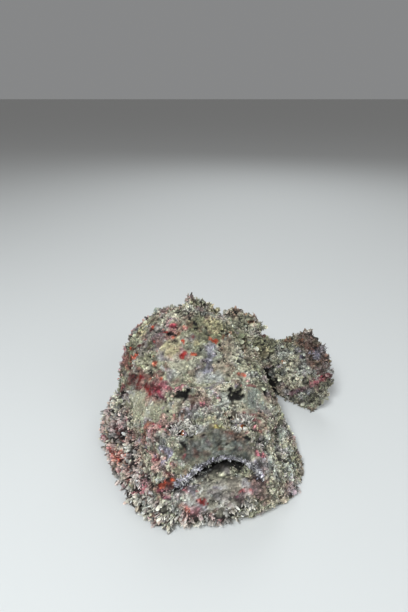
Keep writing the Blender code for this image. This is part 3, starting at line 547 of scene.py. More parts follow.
def seenPlace(across, down):
    # the place of the solids behind a point of the view, or beside it at the outline, and its depth
    tilt = math.radians(viewSettings["tilt"])
    ahead = Vector((0, math.cos(tilt), -math.sin(tilt)))
    side = Vector((1, 0, 0))
    above = side.cross(ahead)
    eye = Vector(viewSettings["place"])
    x = (across - viewSettings["middle"][0]) / viewSettings["focal"]
    y = (down - viewSettings["middle"][1]) / viewSettings["focal"]
    way = (ahead + side * x - above * y).normalized()
    place = solidsTree.ray_cast(eye, way)[0]
    if place is None:
        first, step = viewSettings["searchFrom"], viewSettings["searchStep"]
        line = [eye + way * (first + step * k) for k in range(viewSettings["searchSteps"])]
        found = [solidsTree.find_nearest(p) for p in line]
        nearest = min(found, key=lambda hit: hit[3])
        if nearest[3] > viewSettings["rim"]:
            return None, 0.0
        place = nearest[0]
    return place, (place - eye).length * way.dot(ahead)


def placedMarkings():
    # both ends of each marking on the solids and its radius, in metres and rounded
    placed = []
    for rows in markings.values():
        for *ends, radius, colour, strength in rows:
            start, startDepth = seenPlace(*ends[:2])
            end, endDepth = seenPlace(*ends[-2:])
            if start is None and end is None:
                continue
            if start is None:
                start, startDepth = end, endDepth
            if end is None:
                end, endDepth = start, startDepth
            if (start - end).length > viewSettings["longestStreak"]:
                end = start  # the streak would jump over a gap
            size = radius * 0.5 * (startDepth + endDepth) / viewSettings["focal"]
            size = max(size, viewSettings["smallestRadius"])
            digits = 0 if radius > viewSettings["fineRadius"] else 1
            start, end = [np.array([round(v * 1000, digits) for v in p]) / 1000 for p in (start, end)]
            placed.append((start, end, round(size * 1000, 1) / 1000, colour, strength))
    return placed


def placedLine(rows):
    return [row if len(row) == 3 else [round(v, 4) for v in seenPlace(*row)[0]] for row in rows]


lines = {name: placedLine(rows) for name, rows in lineRows.items()}
shake = np.stack([noiseAt(points, 190, 7.0 + k, 2) for k in range(3)], axis=1)
markShares = []
hollow = np.zeros(len(points))
for start, end, radius, colour, strength in placedMarkings():
    reach = np.linalg.norm(end - start) / 2 + 2.2 * radius + 0.002
    inside = np.linalg.norm(points - (start + end) / 2, axis=1) < reach
    gap = gapTo(points[inside] + shake[inside] * min(0.8 * radius, 0.0035), start, end)
    share = np.zeros(len(points))
    share[inside] = (1 - ease(gap, 0.6 * radius, 1.15 * radius)) * strength
    # the darkest marks are painted shade, and they also sink the skin
    if colour == "crevice":
        hollow = np.maximum(hollow, share)
    markShares.append((colour, share))
armGap = np.minimum(gapToLine(points, lines["leftEnd"]), gapToLine(points, lines["rightEnd"]))
armShare = 1 - ease(armGap, 0.0007, 0.0019)
hollow = np.maximum(hollow, armShare)
lipGap = gapToLine(points, lines["lip"])
leftArm = ease(-points[:, 0], -0.012, 0.004)
rightArm = ease(points[:, 0], 0.030, 0.040)
bandWidth = skinSettings["bandWidth"] + 0.0014 * leftArm + 0.0009 * rightArm
bandEdge = skinSettings["bandEdge"]
raggedGap = lipGap + 0.0014 * noiseAt(points, 260, 11.0, 2)
bandShare = 1 - ease(raggedGap, bandWidth - bandEdge, bandWidth + bandEdge)
calmShare = snoutShare.copy()
for place, radius, share in calmPlaces:
    gap = np.linalg.norm(points - np.array(place), axis=1)
    calmShare = np.maximum(calmShare, share * (1 - ease(gap, 0.6 * radius, 1.3 * radius)))
calmShare = np.maximum(calmShare, 0.8 * jawFace)
clumpNoise = noiseAt(points, 290, 141.0, 2)
clump = ease(clumpNoise, -0.14, 0.20)
print("stage: marks placed")


skySettings = {"rays": 14, "lift": 0.0006, "reach": 0.016, "lowest": 0.25}


def openShare(points, normals):
    # how much open sky a point sees, from 0 deep in a crease to 1
    tree = BVHTree.FromPolygons(
        [Vector(p) for p in points], [tuple(f.vertices) for f in skinMesh.polygons]
    )
    golden = math.pi * (3 - math.sqrt(5))
    rays, lowest = skySettings["rays"], skySettings["lowest"]
    total = np.zeros(len(points))
    for index, (point, normal) in enumerate(zip(points, normals)):
        up = Vector(normal)
        side = up.orthogonal().normalized()
        front = up.cross(side)
        start = Vector(point) + up * skySettings["lift"]
        seen = 0
        for k in range(rays):
            height = lowest + (1 - lowest) * (k + 0.5) / rays
            width = math.sqrt(1 - height * height)
            turn = golden * k
            way = up * height + side * (width * math.cos(turn)) + front * (width * math.sin(turn))
            if tree.ray_cast(start, way, skySettings["reach"])[0] is None:
                seen += 1
        total[index] = seen / rays
    return total


def skinRelief(points, normals):
    s = skinSettings
    lumps = noiseAt(points, 75, 3.1, 3) * s["lumpHeight"]
    wide = cellsAt(points, s["wartSize"], 1.3)
    small = cellsAt(points, s["grainSize"], 4.7)
    warts = (1 - ease(wide, 0.05, 0.62)) * s["wartHeight"] * ease(noiseAt(points, 60, 9.0), -0.25, 0.25)
    grains = (1 - ease(small, 0.05, 0.65)) * s["grainHeight"]
    holes = ease(noiseAt(points, 125, 21.0, 2), 0.22, 0.55) * s["pitDepth"]
    away = points - np.array(s["jawCentre"])
    ring = np.hypot(away[:, 0], away[:, 2])
    turn = np.arctan2(away[:, 0], away[:, 2] + 0.004)
    foldPlaces = np.stack([ring * 400, turn * 2.6, ring * 0], axis=1) + 0.5 * shake
    folds = noiseAt(foldPlaces, 1.0, 5.0, 2)
    calm = 1 - 0.72 * calmShare - 0.4 * lipShare
    calm = calm * (1 - 0.8 * underShare)
    height = lumps * calm + (warts * (1 - 0.8 * jawFace) + grains * (1 - 0.6 * jawFace)) * calm
    height -= holes * calm * (0.25 + 0.75 * trunkShare) * (1 - 0.7 * finShare)
    height += s["foldHeight"] * folds * np.maximum(jawFace, 0.4 * jawShare)
    height -= s["hollowDepth"] * ease(hollow, 0.3, 0.9) + s["armDepth"] * armShare
    height += s["bandHeight"] * bandShare * (1 - armShare)
    height = np.where(height < 0, height * (1 - 0.75 * finShare), height)
    return height - s["sink"] - 0.0006 * (1 - finShare), folds


relief, folds = skinRelief(points, normals)
points = points + normals * relief[:, None]
points[:, 2] = np.maximum(points[:, 2], skinSettings["floorGap"])
setPoints(skinMesh, points)
normals = normalsOf(skinMesh)
print("stage: skin relief")

# The front fins and the chin, where pale and dark tufts stand side by side
chinShare = 1 - ease(gapToLine(points, lines["chin"]), 0.003, 0.009)
frontFin = finShare * ease(-points[:, 0], 0.0, 0.02) * ease(-points[:, 1], 0.0, 0.02)
edgeShare = np.maximum(chinShare, np.maximum(frontFin, 0.3 * finShare))
thin = edgeShare * (1 - ease(clumpNoise, 0.0, 0.22))
napeOffset = (points - np.array(skinSettings["napeCentre"])) / np.array(skinSettings["napeReach"])
napeGap = np.linalg.norm(napeOffset, axis=1)
napeShare = 1 - ease(napeGap, 0.038, 0.052)

low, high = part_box("tail_fin")
tailOffset = (points - np.array((low + high) / 2)) / np.array((high - low) / 2)
tailReach = np.linalg.norm(tailOffset, axis=1)
tailRim = ease(tailReach, 0.60, 1.0) * ease(points[:, 0], 0.070, 0.085)
# How far each point lies in a narrow or a wide dip, in voxels
dip, broad = [
    np.sum((smoothed(points, edges, passes) - points) * normals, axis=1) / skinSettings["voxel"]
    for passes in (1, 8)
]
sky = openShare(points, normals)
print("stage: creases measured")


def skinTint(points):
    base = np.repeat(linear(colours["sand"])[None], len(points), axis=0)

    def blend(colour, share):
        share = np.clip(share, 0, 1)[:, None]
        return base * (1 - share) + linear(colours[colour])[None] * share

    redder = ease(-points[:, 0], -0.02, 0.04)
    # colour, strength, grain and shift of the noise, where a patch begins and is full, and its region
    patches = (
        ("cream", 1.0, 45, 31.0, -0.15, 0.30, 1.0),
        ("chalk", 0.6, 70, 41.0, 0.05, 0.40, 1.0),
        ("olive", 0.8, 38, 51.0, 0.05, 0.40, 0.3 + 0.7 * trunkShare),
        ("mauve", 0.6, 55, 61.0, 0.18, 0.45, 1.0),
        ("pink", 0.7, 62, 71.0, 0.22, 0.42, 0.20 + 0.5 * redder),
        ("rose", 0.75, 70, 81.0, 0.30, 0.46, 0.15 + 0.5 * redder),
        ("brown", 0.6, 80, 91.0, 0.28, 0.50, 1.0),
    )
    for colour, strength, grain, shift, begin, full, region in patches:
        base = blend(colour, strength * ease(noiseAt(points, grain, shift, 3), begin, full) * region)
    base = blend("mauve", 0.35 * jawFace)
    patchy = noiseAt(points, 330, 15.0, 2)
    for colour, share in markShares:
        base = blend(colour, share if colour == "crevice" else share * (0.92 + 0.4 * patchy))
    # dots on the back, then the mottled snout
    dots = ease(noiseAt(points, 210, 101.0, 1), 0.52, 0.60) * trunkShare * redder
    base = blend("orange", 0.9 * dots)
    mottle = noiseAt(points, 260, 151.0, 3)
    base = blend("brown", 0.35 * snoutShare * ease(mottle, 0.05, 0.4))
    base = blend("chalk", 0.25 * snoutShare * ease(-mottle, 0.10, 0.4))
    base = blend("crevice", 0.7 * snoutShare * ease(noiseAt(points, 360, 161.0, 2), 0.10, 0.42))
    base = base * (1 - 0.20 * snoutShare - 0.34 * tailRim - 0.12 * jawFace)[:, None]
    base = base * (1 - 0.15 * (1 - edgeShare) * (1 - finShare) * (1 - snoutShare))[:, None]
    base = blend("rose", 0.32 * frontFin * ease(noiseAt(points, 150, 201.0, 2), -0.1, 0.4))
    # the folds of the jaw, paler on their crests and with painted shade in their troughs, then the band
    # along the upper lip
    base = blend("white", 0.4 * jawFace * ease(folds, 0.12, 0.5))
    base = blend("crevice", 0.55 * jawFace * ease(-folds, 0.08, 0.5))
    fuzz = noiseAt(points, 480, 171.0, 2)
    base = blend("lavender", 0.75 * bandShare)
    base = blend("white", 0.7 * bandShare * ease(fuzz, 0.05, 0.3))
    base = blend("crevice", 0.85 * bandShare * ease(-fuzz, 0.02, 0.30))
    bright = base.copy()
    # pale grains, then painted shade and a painted highlight, which the coat's colours mostly leave out
    rough = (1 - 0.8 * calmShare) * (1 - 0.35 * napeShare)
    pale = rough * ease(noiseAt(points, 420, 121.0, 2), 0.15, 0.40)
    base = base * (1 + 0.8 * pale)[:, None]
    # painted shade in dark patches of the rough skin and where no clump of the coat stands
    base = blend("crevice", 0.9 * rough * ease(noiseAt(points, 300, 131.0, 2), 0.18, 0.40))
    base = blend("crevice", 0.75 * rough * (1 - clump))
    base = blend("darkRed", 0.55 * frontFin * ease(noiseAt(points, 230, 181.0, 2), -0.15, 0.25))
    # painted shade between the thinned tufts of the fins and chin
    base = blend("crevice", 0.85 * thin)
    # a painted highlight on the bumps, then painted shade in narrow dips, in wide dips and where little
    # sky is seen
    base = base * (1 + 0.6 * rough * ease(-dip, 0.02, 0.14))[:, None]
    base = blend("crevice", 0.9 * rough * ease(dip, 0.02, 0.16))
    base = blend("crevice", 0.7 * ease(broad, 0.20, 0.9))
    base = blend("crevice", 0.97 * (1 - ease(sky, 0.35, 0.92)))
    base = blend("sand", 0.7 * underShare)
    # painted shade in the marked pits and creases and at the ends of the mouth
    base = blend("crevice", ease(hollow, 0.15, 0.75))
    return base, bright


tint, openTint = skinTint(points)
setTint(skinMesh, tint)
skin = addPiece("skin", skinMesh)
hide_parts(*fleshNodes)
print("stage: skin coloured")


# Materials: the scale of the grain, the depth of its bumps in metres, and the roughness
finishSettings = {
    "skinFinish": (620.0, 0.0009, 0.78),
    "coatFinish": (1500.0, 0.0003, 0.8),
    "shades": (0.46, 1.34),
    "bumps": (0.7, 0.8),
    "shine": 0.3,
}


def skinMaterial(name):
    grainScale, bumpReach, roughness = finishSettings[name]
    material = bpy.data.materials.new(name)
    material.use_nodes = True
    tree = material.node_tree
    shader = tree.nodes["Principled BSDF"]
    colour = tree.nodes.new("ShaderNodeAttribute")
    colour.attribute_name = "tint"
    place = tree.nodes.new("ShaderNodeTexCoord")
    grain = tree.nodes.new("ShaderNodeTexNoise")
    grain.inputs["Scale"].default_value = grainScale
    grain.inputs["Detail"].default_value = 4.0
    grain.inputs["Roughness"].default_value = 0.7
    tree.links.new(place.outputs["Object"], grain.inputs["Vector"])
    shade = tree.nodes.new("ShaderNodeMapRange")
    shade.inputs["From Min"].default_value = 0.3
    shade.inputs["From Max"].default_value = 0.7
    shade.inputs["To Min"].default_value = finishSettings["shades"][0]
    shade.inputs["To Max"].default_value = finishSettings["shades"][1]
    tree.links.new(grain.outputs["Fac"], shade.inputs["Value"])
    mixed = tree.nodes.new("ShaderNodeVectorMath")
    mixed.operation = "SCALE"
    tree.links.new(colour.outputs["Color"], mixed.inputs[0])
    tree.links.new(shade.outputs["Result"], mixed.inputs["Scale"])
    tree.links.new(mixed.outputs["Vector"], shader.inputs["Base Color"])
    pebbles = tree.nodes.new("ShaderNodeTexVoronoi")
    pebbles.inputs["Scale"].default_value = grainScale * 0.7
    tree.links.new(place.outputs["Object"], pebbles.inputs["Vector"])
    pebbleBump = tree.nodes.new("ShaderNodeBump")
    pebbleBump.invert = True
    grainBump = tree.nodes.new("ShaderNodeBump")
    bumps = ((pebbleBump, pebbles.outputs["Distance"]), (grainBump, grain.outputs["Fac"]))
    for (bump, height), strength in zip(bumps, finishSettings["bumps"]):
        bump.inputs["Distance"].default_value = bumpReach
        bump.inputs["Strength"].default_value = strength
        tree.links.new(height, bump.inputs["Height"])
    tree.links.new(pebbleBump.outputs["Normal"], grainBump.inputs["Normal"])
    tree.links.new(grainBump.outputs["Normal"], shader.inputs["Normal"])
    shader.inputs["Roughness"].default_value = roughness
    shader.inputs["Specular IOR Level"].default_value = finishSettings["shine"]
    return material


skinMesh.materials.append(skinMaterial("skinFinish"))


# An unwrap of the skin's own shape, for the places of tufts on it
def unwrapOfBody():
    mesh = joinedNodes(fleshNodes, 0.0, 0.0)
    holder = bpy.data.objects.new("unwrap", mesh)
    bpy.context.scene.collection.objects.link(holder)
    bpy.context.view_layer.objects.active = holder
    holder.select_set(True)
    bpy.ops.object.mode_set(mode="EDIT")
    bpy.ops.mesh.select_all(action="SELECT")
    bpy.ops.uv.smart_project(angle_limit=math.radians(66), island_margin=0.002)
    bpy.ops.object.mode_set(mode="OBJECT")
    layer = mesh.uv_layers.active.data
    faces = [(tuple(f.vertices), tuple(f.loop_indices)) for f in mesh.polygons]
    places = [v.co.copy() for v in mesh.vertices]
    spots = [Vector(u.uv) for u in layer]
    tree = BVHTree.FromPolygons(places, [f[0] for f in faces])
    bpy.data.objects.remove(holder)
    return tree, faces, places, spots


unwrapTree, unwrapFaces, unwrapPlaces, unwrapSpots = unwrapOfBody()


def spotOf(point):
    near, _, index, _ = unwrapTree.find_nearest(Vector(point))
    corners, loops = unwrapFaces[index]
    gaps = [max((unwrapPlaces[c] - near).length, 1e-9) for c in corners]
    total = sum(1 / g for g in gaps)
    return sum((unwrapSpots[l] * (1 / g) for l, g in zip(loops, gaps)), Vector((0, 0))) / total


print("stage: body unwrapped")


# Small shapes of the coat, each one unit high along Z
def roundGrain(draw):
    bm = bmesh.new()
    bmesh.ops.create_icosphere(bm, subdivisions=1, radius=1.0)
    for point in bm.verts:
        point.co *= draw.uniform(0.75, 1.2)
    bmesh.ops.translate(bm, verts=bm.verts, vec=(0, 0, 0.35))
    return bm


def stalk(draw, sides, steps, width, bend, flat):
    # a stalk drawn up from a small ring, step by step
    bm = bmesh.new()
    ring = bmesh.ops.create_circle(bm, cap_ends=True, segments=sides, radius=width)["verts"]
    bmesh.ops.scale(bm, vec=(1, flat, 1), verts=ring)
    face = list(bm.faces)[0]
    for step in range(steps):
        up = bmesh.ops.extrude_face_region(bm, geom=[face])["geom"]
        ring = [e for e in up if isinstance(e, bmesh.types.BMVert)]
        face = [e for e in up if isinstance(e, bmesh.types.BMFace)][0]
        share = (step + 1) / steps
        reach = bend * share**1.5 / steps
        bmesh.ops.translate(bm, verts=ring, vec=(reach, draw.uniform(-0.05, 0.05), 1.0 / steps))
        middle = sum((v.co for v in ring), Vector()) / len(ring)
        swell = draw.uniform(0.75, 1.35) * (1.0 if share < 0.7 else 0.45)
        for point in ring:
            point.co = middle + (point.co - middle) * swell
    bmesh.ops.recalc_face_normals(bm, faces=bm.faces)
    return bm


def leaf(draw, bend):
    # a thin flap with an uneven, lobed rim
    bm = bmesh.new()
    ring = bmesh.ops.create_circle(bm, cap_ends=True, segments=6, radius=0.16)["verts"]
    bmesh.ops.scale(bm, vec=(1, 0.28, 1), verts=ring)
    face = list(bm.faces)[0]
    for step, spread in enumerate((1.5, 1.35, 1.0, 0.55)):
        up = bmesh.ops.extrude_face_region(bm, geom=[face])["geom"]
        ring = [e for e in up if isinstance(e, bmesh.types.BMVert)]
        face = [e for e in up if isinstance(e, bmesh.types.BMFace)][0]
        bmesh.ops.translate(bm, verts=ring, vec=(0, bend * (step + 1) * 0.06, 0.25))
        middle = sum((v.co for v in ring), Vector()) / len(ring)
        for point in ring:
            away = point.co - middle
            away.x *= spread * draw.uniform(0.7, 1.35)
            away.y *= draw.uniform(0.7, 1.0)
            away.z += draw.uniform(-0.10, 0.10)
            point.co = middle + away
    bmesh.ops.recalc_face_normals(bm, faces=bm.faces)
    return bm


def templateFrom(bm):
    bmesh.ops.triangulate(bm, faces=bm.faces)
    places = np.array([v.co[:] for v in bm.verts])
    bm.verts.index_update()
    faces = np.array([[v.index for v in f.verts] for f in bm.faces])
    bm.free()
    return places, faces


def placeCopies(name, templates, chosen, depth, ups, leans, heights, widths, tints, tones):
    # joins one copy of a small shape for each chosen point of the skin, with painted shade at its root
    # and paler towards its tip
    roots = points[chosen] - normals[chosen] * depth
    which = draw.integers(0, len(templates), len(roots))
    spots = np.array([spotOf(p)[:] for p in roots])
    parts, faceSets, tintSets, spotSets = [], [], [], []
    total = 0
    side = unit(np.cross(ups, leans))
    front = np.cross(side, ups)
    for index, (shape, faces) in enumerate(templates):
        picked = np.nonzero(which == index)[0]
        if len(picked) == 0:
            continue
        x = side[picked][:, None] * (shape[None, :, 0:1] * widths[picked][:, None, None])
        y = front[picked][:, None] * (shape[None, :, 1:2] * widths[picked][:, None, None])
        z = ups[picked][:, None] * (shape[None, :, 2:3] * heights[picked][:, None, None])
        parts.append((roots[picked][:, None] + x + y + z).reshape(-1, 3))
        share = np.clip(shape[:, 2], 0, 1)[None, :, None]
        tone = tones[0] + (tones[1] - tones[0]) * share
        mixed = tints[picked][:, None] * tone
        mixed = mixed * (1 - tones[2] * share) + paleTip[None, None] * tones[2] * share
        tintSets.append(mixed.reshape(-1, 3))
        flat = shape[:, [0, 2]] - shape[:, [0, 2]].min(axis=0)
        flat = coatSettings["patchSize"] * (flat / flat.max(axis=0) - 0.5)
        spotSets.append(np.clip(spots[picked][:, None] + flat[None], 0, 1).reshape(-1, 2))
        moved = faces[None] + (total + np.arange(len(picked)) * len(shape))[:, None, None]
        faceSets.append(moved.reshape(-1, 3))
        total += len(picked) * len(shape)
    allPoints = np.concatenate(parts)
    allFaces = np.concatenate(faceSets)
    allPoints[:, 2] = np.maximum(allPoints[:, 2], coatSettings["floorGap"])
    mesh = bpy.data.meshes.new(name)
    mesh.vertices.add(len(allPoints))
    mesh.vertices.foreach_set("co", allPoints.ravel())
    mesh.loops.add(allFaces.size)
    mesh.loops.foreach_set("vertex_index", allFaces.ravel())
    mesh.polygons.add(len(allFaces))
    mesh.polygons.foreach_set("loop_start", np.arange(len(allFaces)) * 3)
    mesh.update(calc_edges=True)
    layer = mesh.uv_layers.new(name="OFBake")
    layer.data.foreach_set("uv", np.concatenate(spotSets)[allFaces.ravel()].ravel())
    setTint(mesh, np.clip(np.concatenate(tintSets), 0, 1))
    mesh.materials.append(coatFinish)
    print("stage:", name, len(allFaces), "triangles")
    return addPiece(name, mesh, smooth=False)


coatFinish = skinMaterial("coatFinish")
paleTip = linear(colours["white"])

# The coat: grains, flaps and threads that stand on the skin. Tones are the darkening at the root, which
# is painted shade, the brightness at the tip and how pale the tip is.
coatSettings = {
    "seed": 11,
    "patchSize": 0.003,  # how wide each tuft's patch is on the unwrap
    "floorGap": 0.0002,
    "rootDepth": 0.0003,
    "grainDepth": 0.0001,
    "grains": 6400,
    "flaps": 2700,
    "threads": 5600,
    "grainSize": (0.00032, 0.00100),
    "flapHeight": (0.0014, 0.0040),
    "threadHeight": (0.0014, 0.0036),
    "threadWidth": 0.0026,
    "grainTones": (0.3, 1.25, 0.04),
    "flapTones": (0.12, 1.3, 0.08),
    "threadTones": (0.10, 1.3, 0.10),
}

draw = np.random.default_rng(coatSettings["seed"])
deep = coatSettings["rootDepth"]
upper = ease(normals[:, 2], -0.75, -0.2) * (1 - underShare)
shaded = 1 - ease(sky, 0.10, 0.35)
smoothSnout = ease(snoutShare, 0.25, 0.60)
clear = upper * (1 - shaded) * (1 - 0.97 * smoothSnout) * (1 - 0.9 * lipShare)
clear = clear * (1 - 0.97 * ease(hollow, 0.3, 0.8)) * (1 - 0.9 * bandShare)
patchiness = ease(noiseAt(points, 110, 141.0, 2), -0.15, 0.35)
clear = clear * (0.05 + 0.95 * clump) * (1 - 0.95 * thin)
tailShare = ease(points[:, 0], 0.055, 0.085)
backShare = trunkShare * ease(points[:, 0], -0.01, 0.02)
faceShare = (1 - finShare) * (1 - ease(points[:, 1], -0.05, -0.02))


def chooseRoots(count, weight):
    chance = np.maximum(weight, 0) + 1e-9
    return draw.choice(len(points), count, replace=False, p=chance / chance.sum())


def leanOf(chosen, sweep):
    # tufts lie back along the body and a little sideways
    random = draw.normal(size=(len(chosen), 3))
    way = np.array([0.0, 1.0, 0.25])[None] * sweep + random
    way -= np.sum(way * normals[chosen], axis=1, keepdims=True) * normals[chosen]
    return unit(way)


def ranged(limits, count, power=1.6):
    return limits[0] + (limits[1] - limits[0]) * draw.random(count) ** power


def shadesOf(chosen, darkPart, darkShade, low, high):
    # one shade for each tuft, a part of them dark
    isDark = draw.random((len(chosen), 1)) < darkPart
    return np.where(isDark, darkShade, draw.uniform(low, high, (len(chosen), 1)))


def coatTint(chosen, low, high):
    # the skin's colour mostly without its painted shade and highlight, a little different on each tuft
    shades = draw.uniform(low, high, (len(chosen), 1)) * draw.uniform(0.92, 1.08, (len(chosen), 3))
    dark = draw.random(len(chosen)) < 0.10 + 0.30 * edgeShare[chosen]
    shades[dark] *= 0.25
    return (0.7 * openTint[chosen] + 0.3 * tint[chosen]) * shades


grainShapes = [templateFrom(roundGrain(draw)) for _ in range(8)]
flapShapes = [templateFrom(leaf(draw, bend)) for bend in (-1.2, -0.5, 0.3, 0.9, 1.4, 0.0)]
threadShapes = [templateFrom(stalk(draw, 4, 3, 0.11, bend, 1.0)) for bend in (-0.8, -0.4, 0.2, 0.6, 1.0)]

for word, region in (("Head", faceShare), ("Trunk", trunkShare), ("Fins", finShare)):
    weight = clear * (0.35 + patchiness) * (1 - 0.6 * calmShare) * (1 - 0.7 * jawFace) * region
    chosen = chooseRoots(coatSettings["grains"], weight)
    sizes = ranged(coatSettings["grainSize"], len(chosen), 2.2)
    placeCopies(
        "grains" + word, grainShapes, chosen, coatSettings["grainDepth"], normals[chosen],
        leanOf(chosen, 0.0), sizes, sizes * draw.uniform(0.8, 1.3, len(chosen)),
        coatTint(chosen, 0.45, 1.55), coatSettings["grainTones"],
    )

for word, region in (("Front", 1 - trunkShare + 0.2 * finShare), ("Rear", trunkShare + 0.5 * tailShare)):
    weight = clear * (0.1 + patchiness**2) * (1 - 0.97 * calmShare) * region
    weight = weight * (1 - 0.95 * jawFace) * (0.45 + 0.55 * finShare + 0.4 * trunkShare)
    weight = weight * (1 - 0.75 * napeShare)
    chosen = chooseRoots(coatSettings["flaps"], weight)
    leans = leanOf(chosen, 0.5)
    rise = draw.uniform(0.35, 1.1, (len(chosen), 1))
    ups = unit(normals[chosen] * rise + leans * draw.uniform(0.3, 1.0, (len(chosen), 1)))
    heights = ranged(coatSettings["flapHeight"], len(chosen)) * (1 - 0.35 * faceShare[chosen])
    heights = heights * (1 - 0.4 * napeShare[chosen])
    placeCopies(
        "flaps" + word, flapShapes, chosen, deep, ups, np.cross(ups, leans) + leans * 0.2,
        heights, heights * draw.uniform(0.7, 1.5, len(chosen)), coatTint(chosen, 0.5, 1.6),
        coatSettings["flapTones"],
    )

regions = (
    ("Front", 0.35 * (1 - trunkShare) + 0.4 * finShare),
    ("Fins", edgeShare + 0.05),
    ("Rear", backShare + 1.2 * tailShare + 0.35 * trunkShare),
)
for word, region in regions:
    weight = clear * (0.2 + patchiness) * (1 - 0.97 * calmShare) * (1 - 0.95 * jawFace) * region
    chosen = chooseRoots(coatSettings["threads"], weight)
    leans = leanOf(chosen, 0.3)
    ups = unit(normals[chosen] + leans * draw.uniform(0.2, 1.3, (len(chosen), 1)))
    reach = 0.7 + 0.3 * trunkShare[chosen] + 0.35 * tailShare[chosen]
    heights = ranged(coatSettings["threadHeight"], len(chosen)) * reach * (1 - 0.35 * napeShare[chosen])
    placeCopies(
        "threads" + word, threadShapes, chosen, deep, ups, leans, heights,
        np.full(len(chosen), coatSettings["threadWidth"]), coatTint(chosen, 0.5, 1.6),
        coatSettings["threadTones"],
    )

# Ragged tufts that ring both eyes on their knobs
knobSettings = {
    "count": 420,
    "height": (0.0018, 0.0046),
    "near": 0.0050,
    "far": 0.0115,
    "colour": (236, 228, 214),
    "tones": (0.15, 1.1, 0.35),
}
eyeGap = np.full(len(points), 1.0)
for node in eyeNodes:
    low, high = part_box(node)
    eyeGap = np.minimum(eyeGap, np.linalg.norm(points - np.array((low + high) / 2), axis=1))
ringShare = ease(eyeGap, knobSettings["near"] - 0.001, knobSettings["near"] + 0.0012)
ringShare = ringShare * (1 - ease(eyeGap, knobSettings["near"] + 0.002, knobSettings["far"]))
ringShare = ringShare * (1 - ease(hollow, 0.2, 0.6)) * (1 - ease(-points[:, 1], 0.066, 0.074))
chosen = chooseRoots(knobSettings["count"], ringShare)
leans = leanOf(chosen, 0.2)
ups = unit(normals[chosen] + leans * draw.uniform(0.1, 1.0, (len(chosen), 1)))
heights = ranged(knobSettings["height"], len(chosen))
knobTint = 0.25 * openTint[chosen] + 0.75 * linear(knobSettings["colour"])[None]
knobTint = knobTint * shadesOf(chosen, 0.15, 0.15, 0.9, 1.5)
placeCopies(
    "eyeTufts", flapShapes, chosen, deep, ups, leans, heights,
    heights * draw.uniform(0.3, 0.7, len(chosen)), knobTint, knobSettings["tones"],
)

# Longer ragged tufts on the image-left fin and along the chin, paler on the chin
rimSettings = {
    "count": 2400,
    "height": (0.0016, 0.0046),
    "bodyMiddle": (0.0, -0.04, 0.06),
    "colour": (244, 232, 220),
    "tones": (0.08, 1.35, 0.30),
}
chosen = chooseRoots(rimSettings["count"], np.maximum(chinShare, frontFin) * clear * clump)
leans = leanOf(chosen, 0.2)
outward = unit(points[chosen] - np.array(rimSettings["bodyMiddle"])[None])
sideways = leans * draw.uniform(0.1, 0.7, (len(chosen), 1))
ups = unit(normals[chosen] * 0.5 + outward * 0.6 + sideways)
heights = ranged(rimSettings["height"], len(chosen))
shades = shadesOf(chosen, 0.30, 0.14, 0.6, 1.6)
whiter = 0.12 + 0.3 * chinShare[chosen][:, None]
rimTint = (openTint[chosen] * (1 - whiter) + linear(rimSettings["colour"])[None] * whiter) * shades
placeCopies(
    "rimTufts", flapShapes, chosen, deep, ups, np.cross(ups, leans) + leans * 0.2, heights,
    heights * draw.uniform(0.4, 0.9, len(chosen)), rimTint, rimSettings["tones"],
)

# The fringe of the upper lip: most of it stands up along the band, some hangs over the mouth
fringeSettings = {
    "standing": 240,
    "hanging": 50,
    "height": (0.0006, 0.0026),
    "width": (0.0016, 0.0036),
    "depth": 0.0002,
    "mouthMiddle": (0.0195, -0.098, 0.026),
    "tones": (0.2, 1.1, 0.2),
}
bandWeight = bandShare * (1 - armShare) * ease(sky, 0.15, 0.4)
bandWeight = bandWeight * (0.12 + ease(noiseAt(points, 340, 191.0, 2), -0.12, 0.25))
standing = chooseRoots(fringeSettings["standing"], bandWeight)
hanging = chooseRoots(fringeSettings["hanging"], bandWeight * (1 - ease(lipGap, 0.0010, 0.0018)))
for word, chosen, drop in (("Standing", standing, -0.25), ("Hanging", hanging, 0.9)):
    inward = unit(np.array(fringeSettings["mouthMiddle"])[None] - points[chosen])
    spread = draw.normal(size=(len(chosen), 3)) * 0.35
    ups = unit(normals[chosen] * 0.7 + inward * drop + spread)
    armReach = 0.5 + 340 * (bandWidth[chosen] - skinSettings["bandWidth"])
    heights = ranged(fringeSettings["height"], len(chosen), 1.3) * armReach
    widths = draw.uniform(*fringeSettings["width"], len(chosen))
    paler = draw.random((len(chosen), 1)) ** 1.6
    bandTint = linear(colours["lavender"])[None] * (1 - paler) + linear(colours["white"])[None] * paler
    shades = shadesOf(chosen, 0.35, 0.12, 0.4, 1.1)
    placeCopies(
        "lipFringe" + word, threadShapes, chosen, fringeSettings["depth"], ups,
        leanOf(chosen, 0.0), heights, widths, bandTint * shades, fringeSettings["tones"],
    )


# Eyes: a small domed ball with a mottled iris and a dark pupil
eyeSettings = {
    "pupil": (0.26, 0.32),
    "iris": (0.62, 0.78),
    "pupilColour": (8, 8, 10),
    "gaze": (0.62, -0.45, 0.64),
    "shrink": 0.97,
    "grain": 2200.0,
    "roughness": (0.06, 0.22),
    "gloss": 0.6,
    "glossRoughness": 0.04,
}


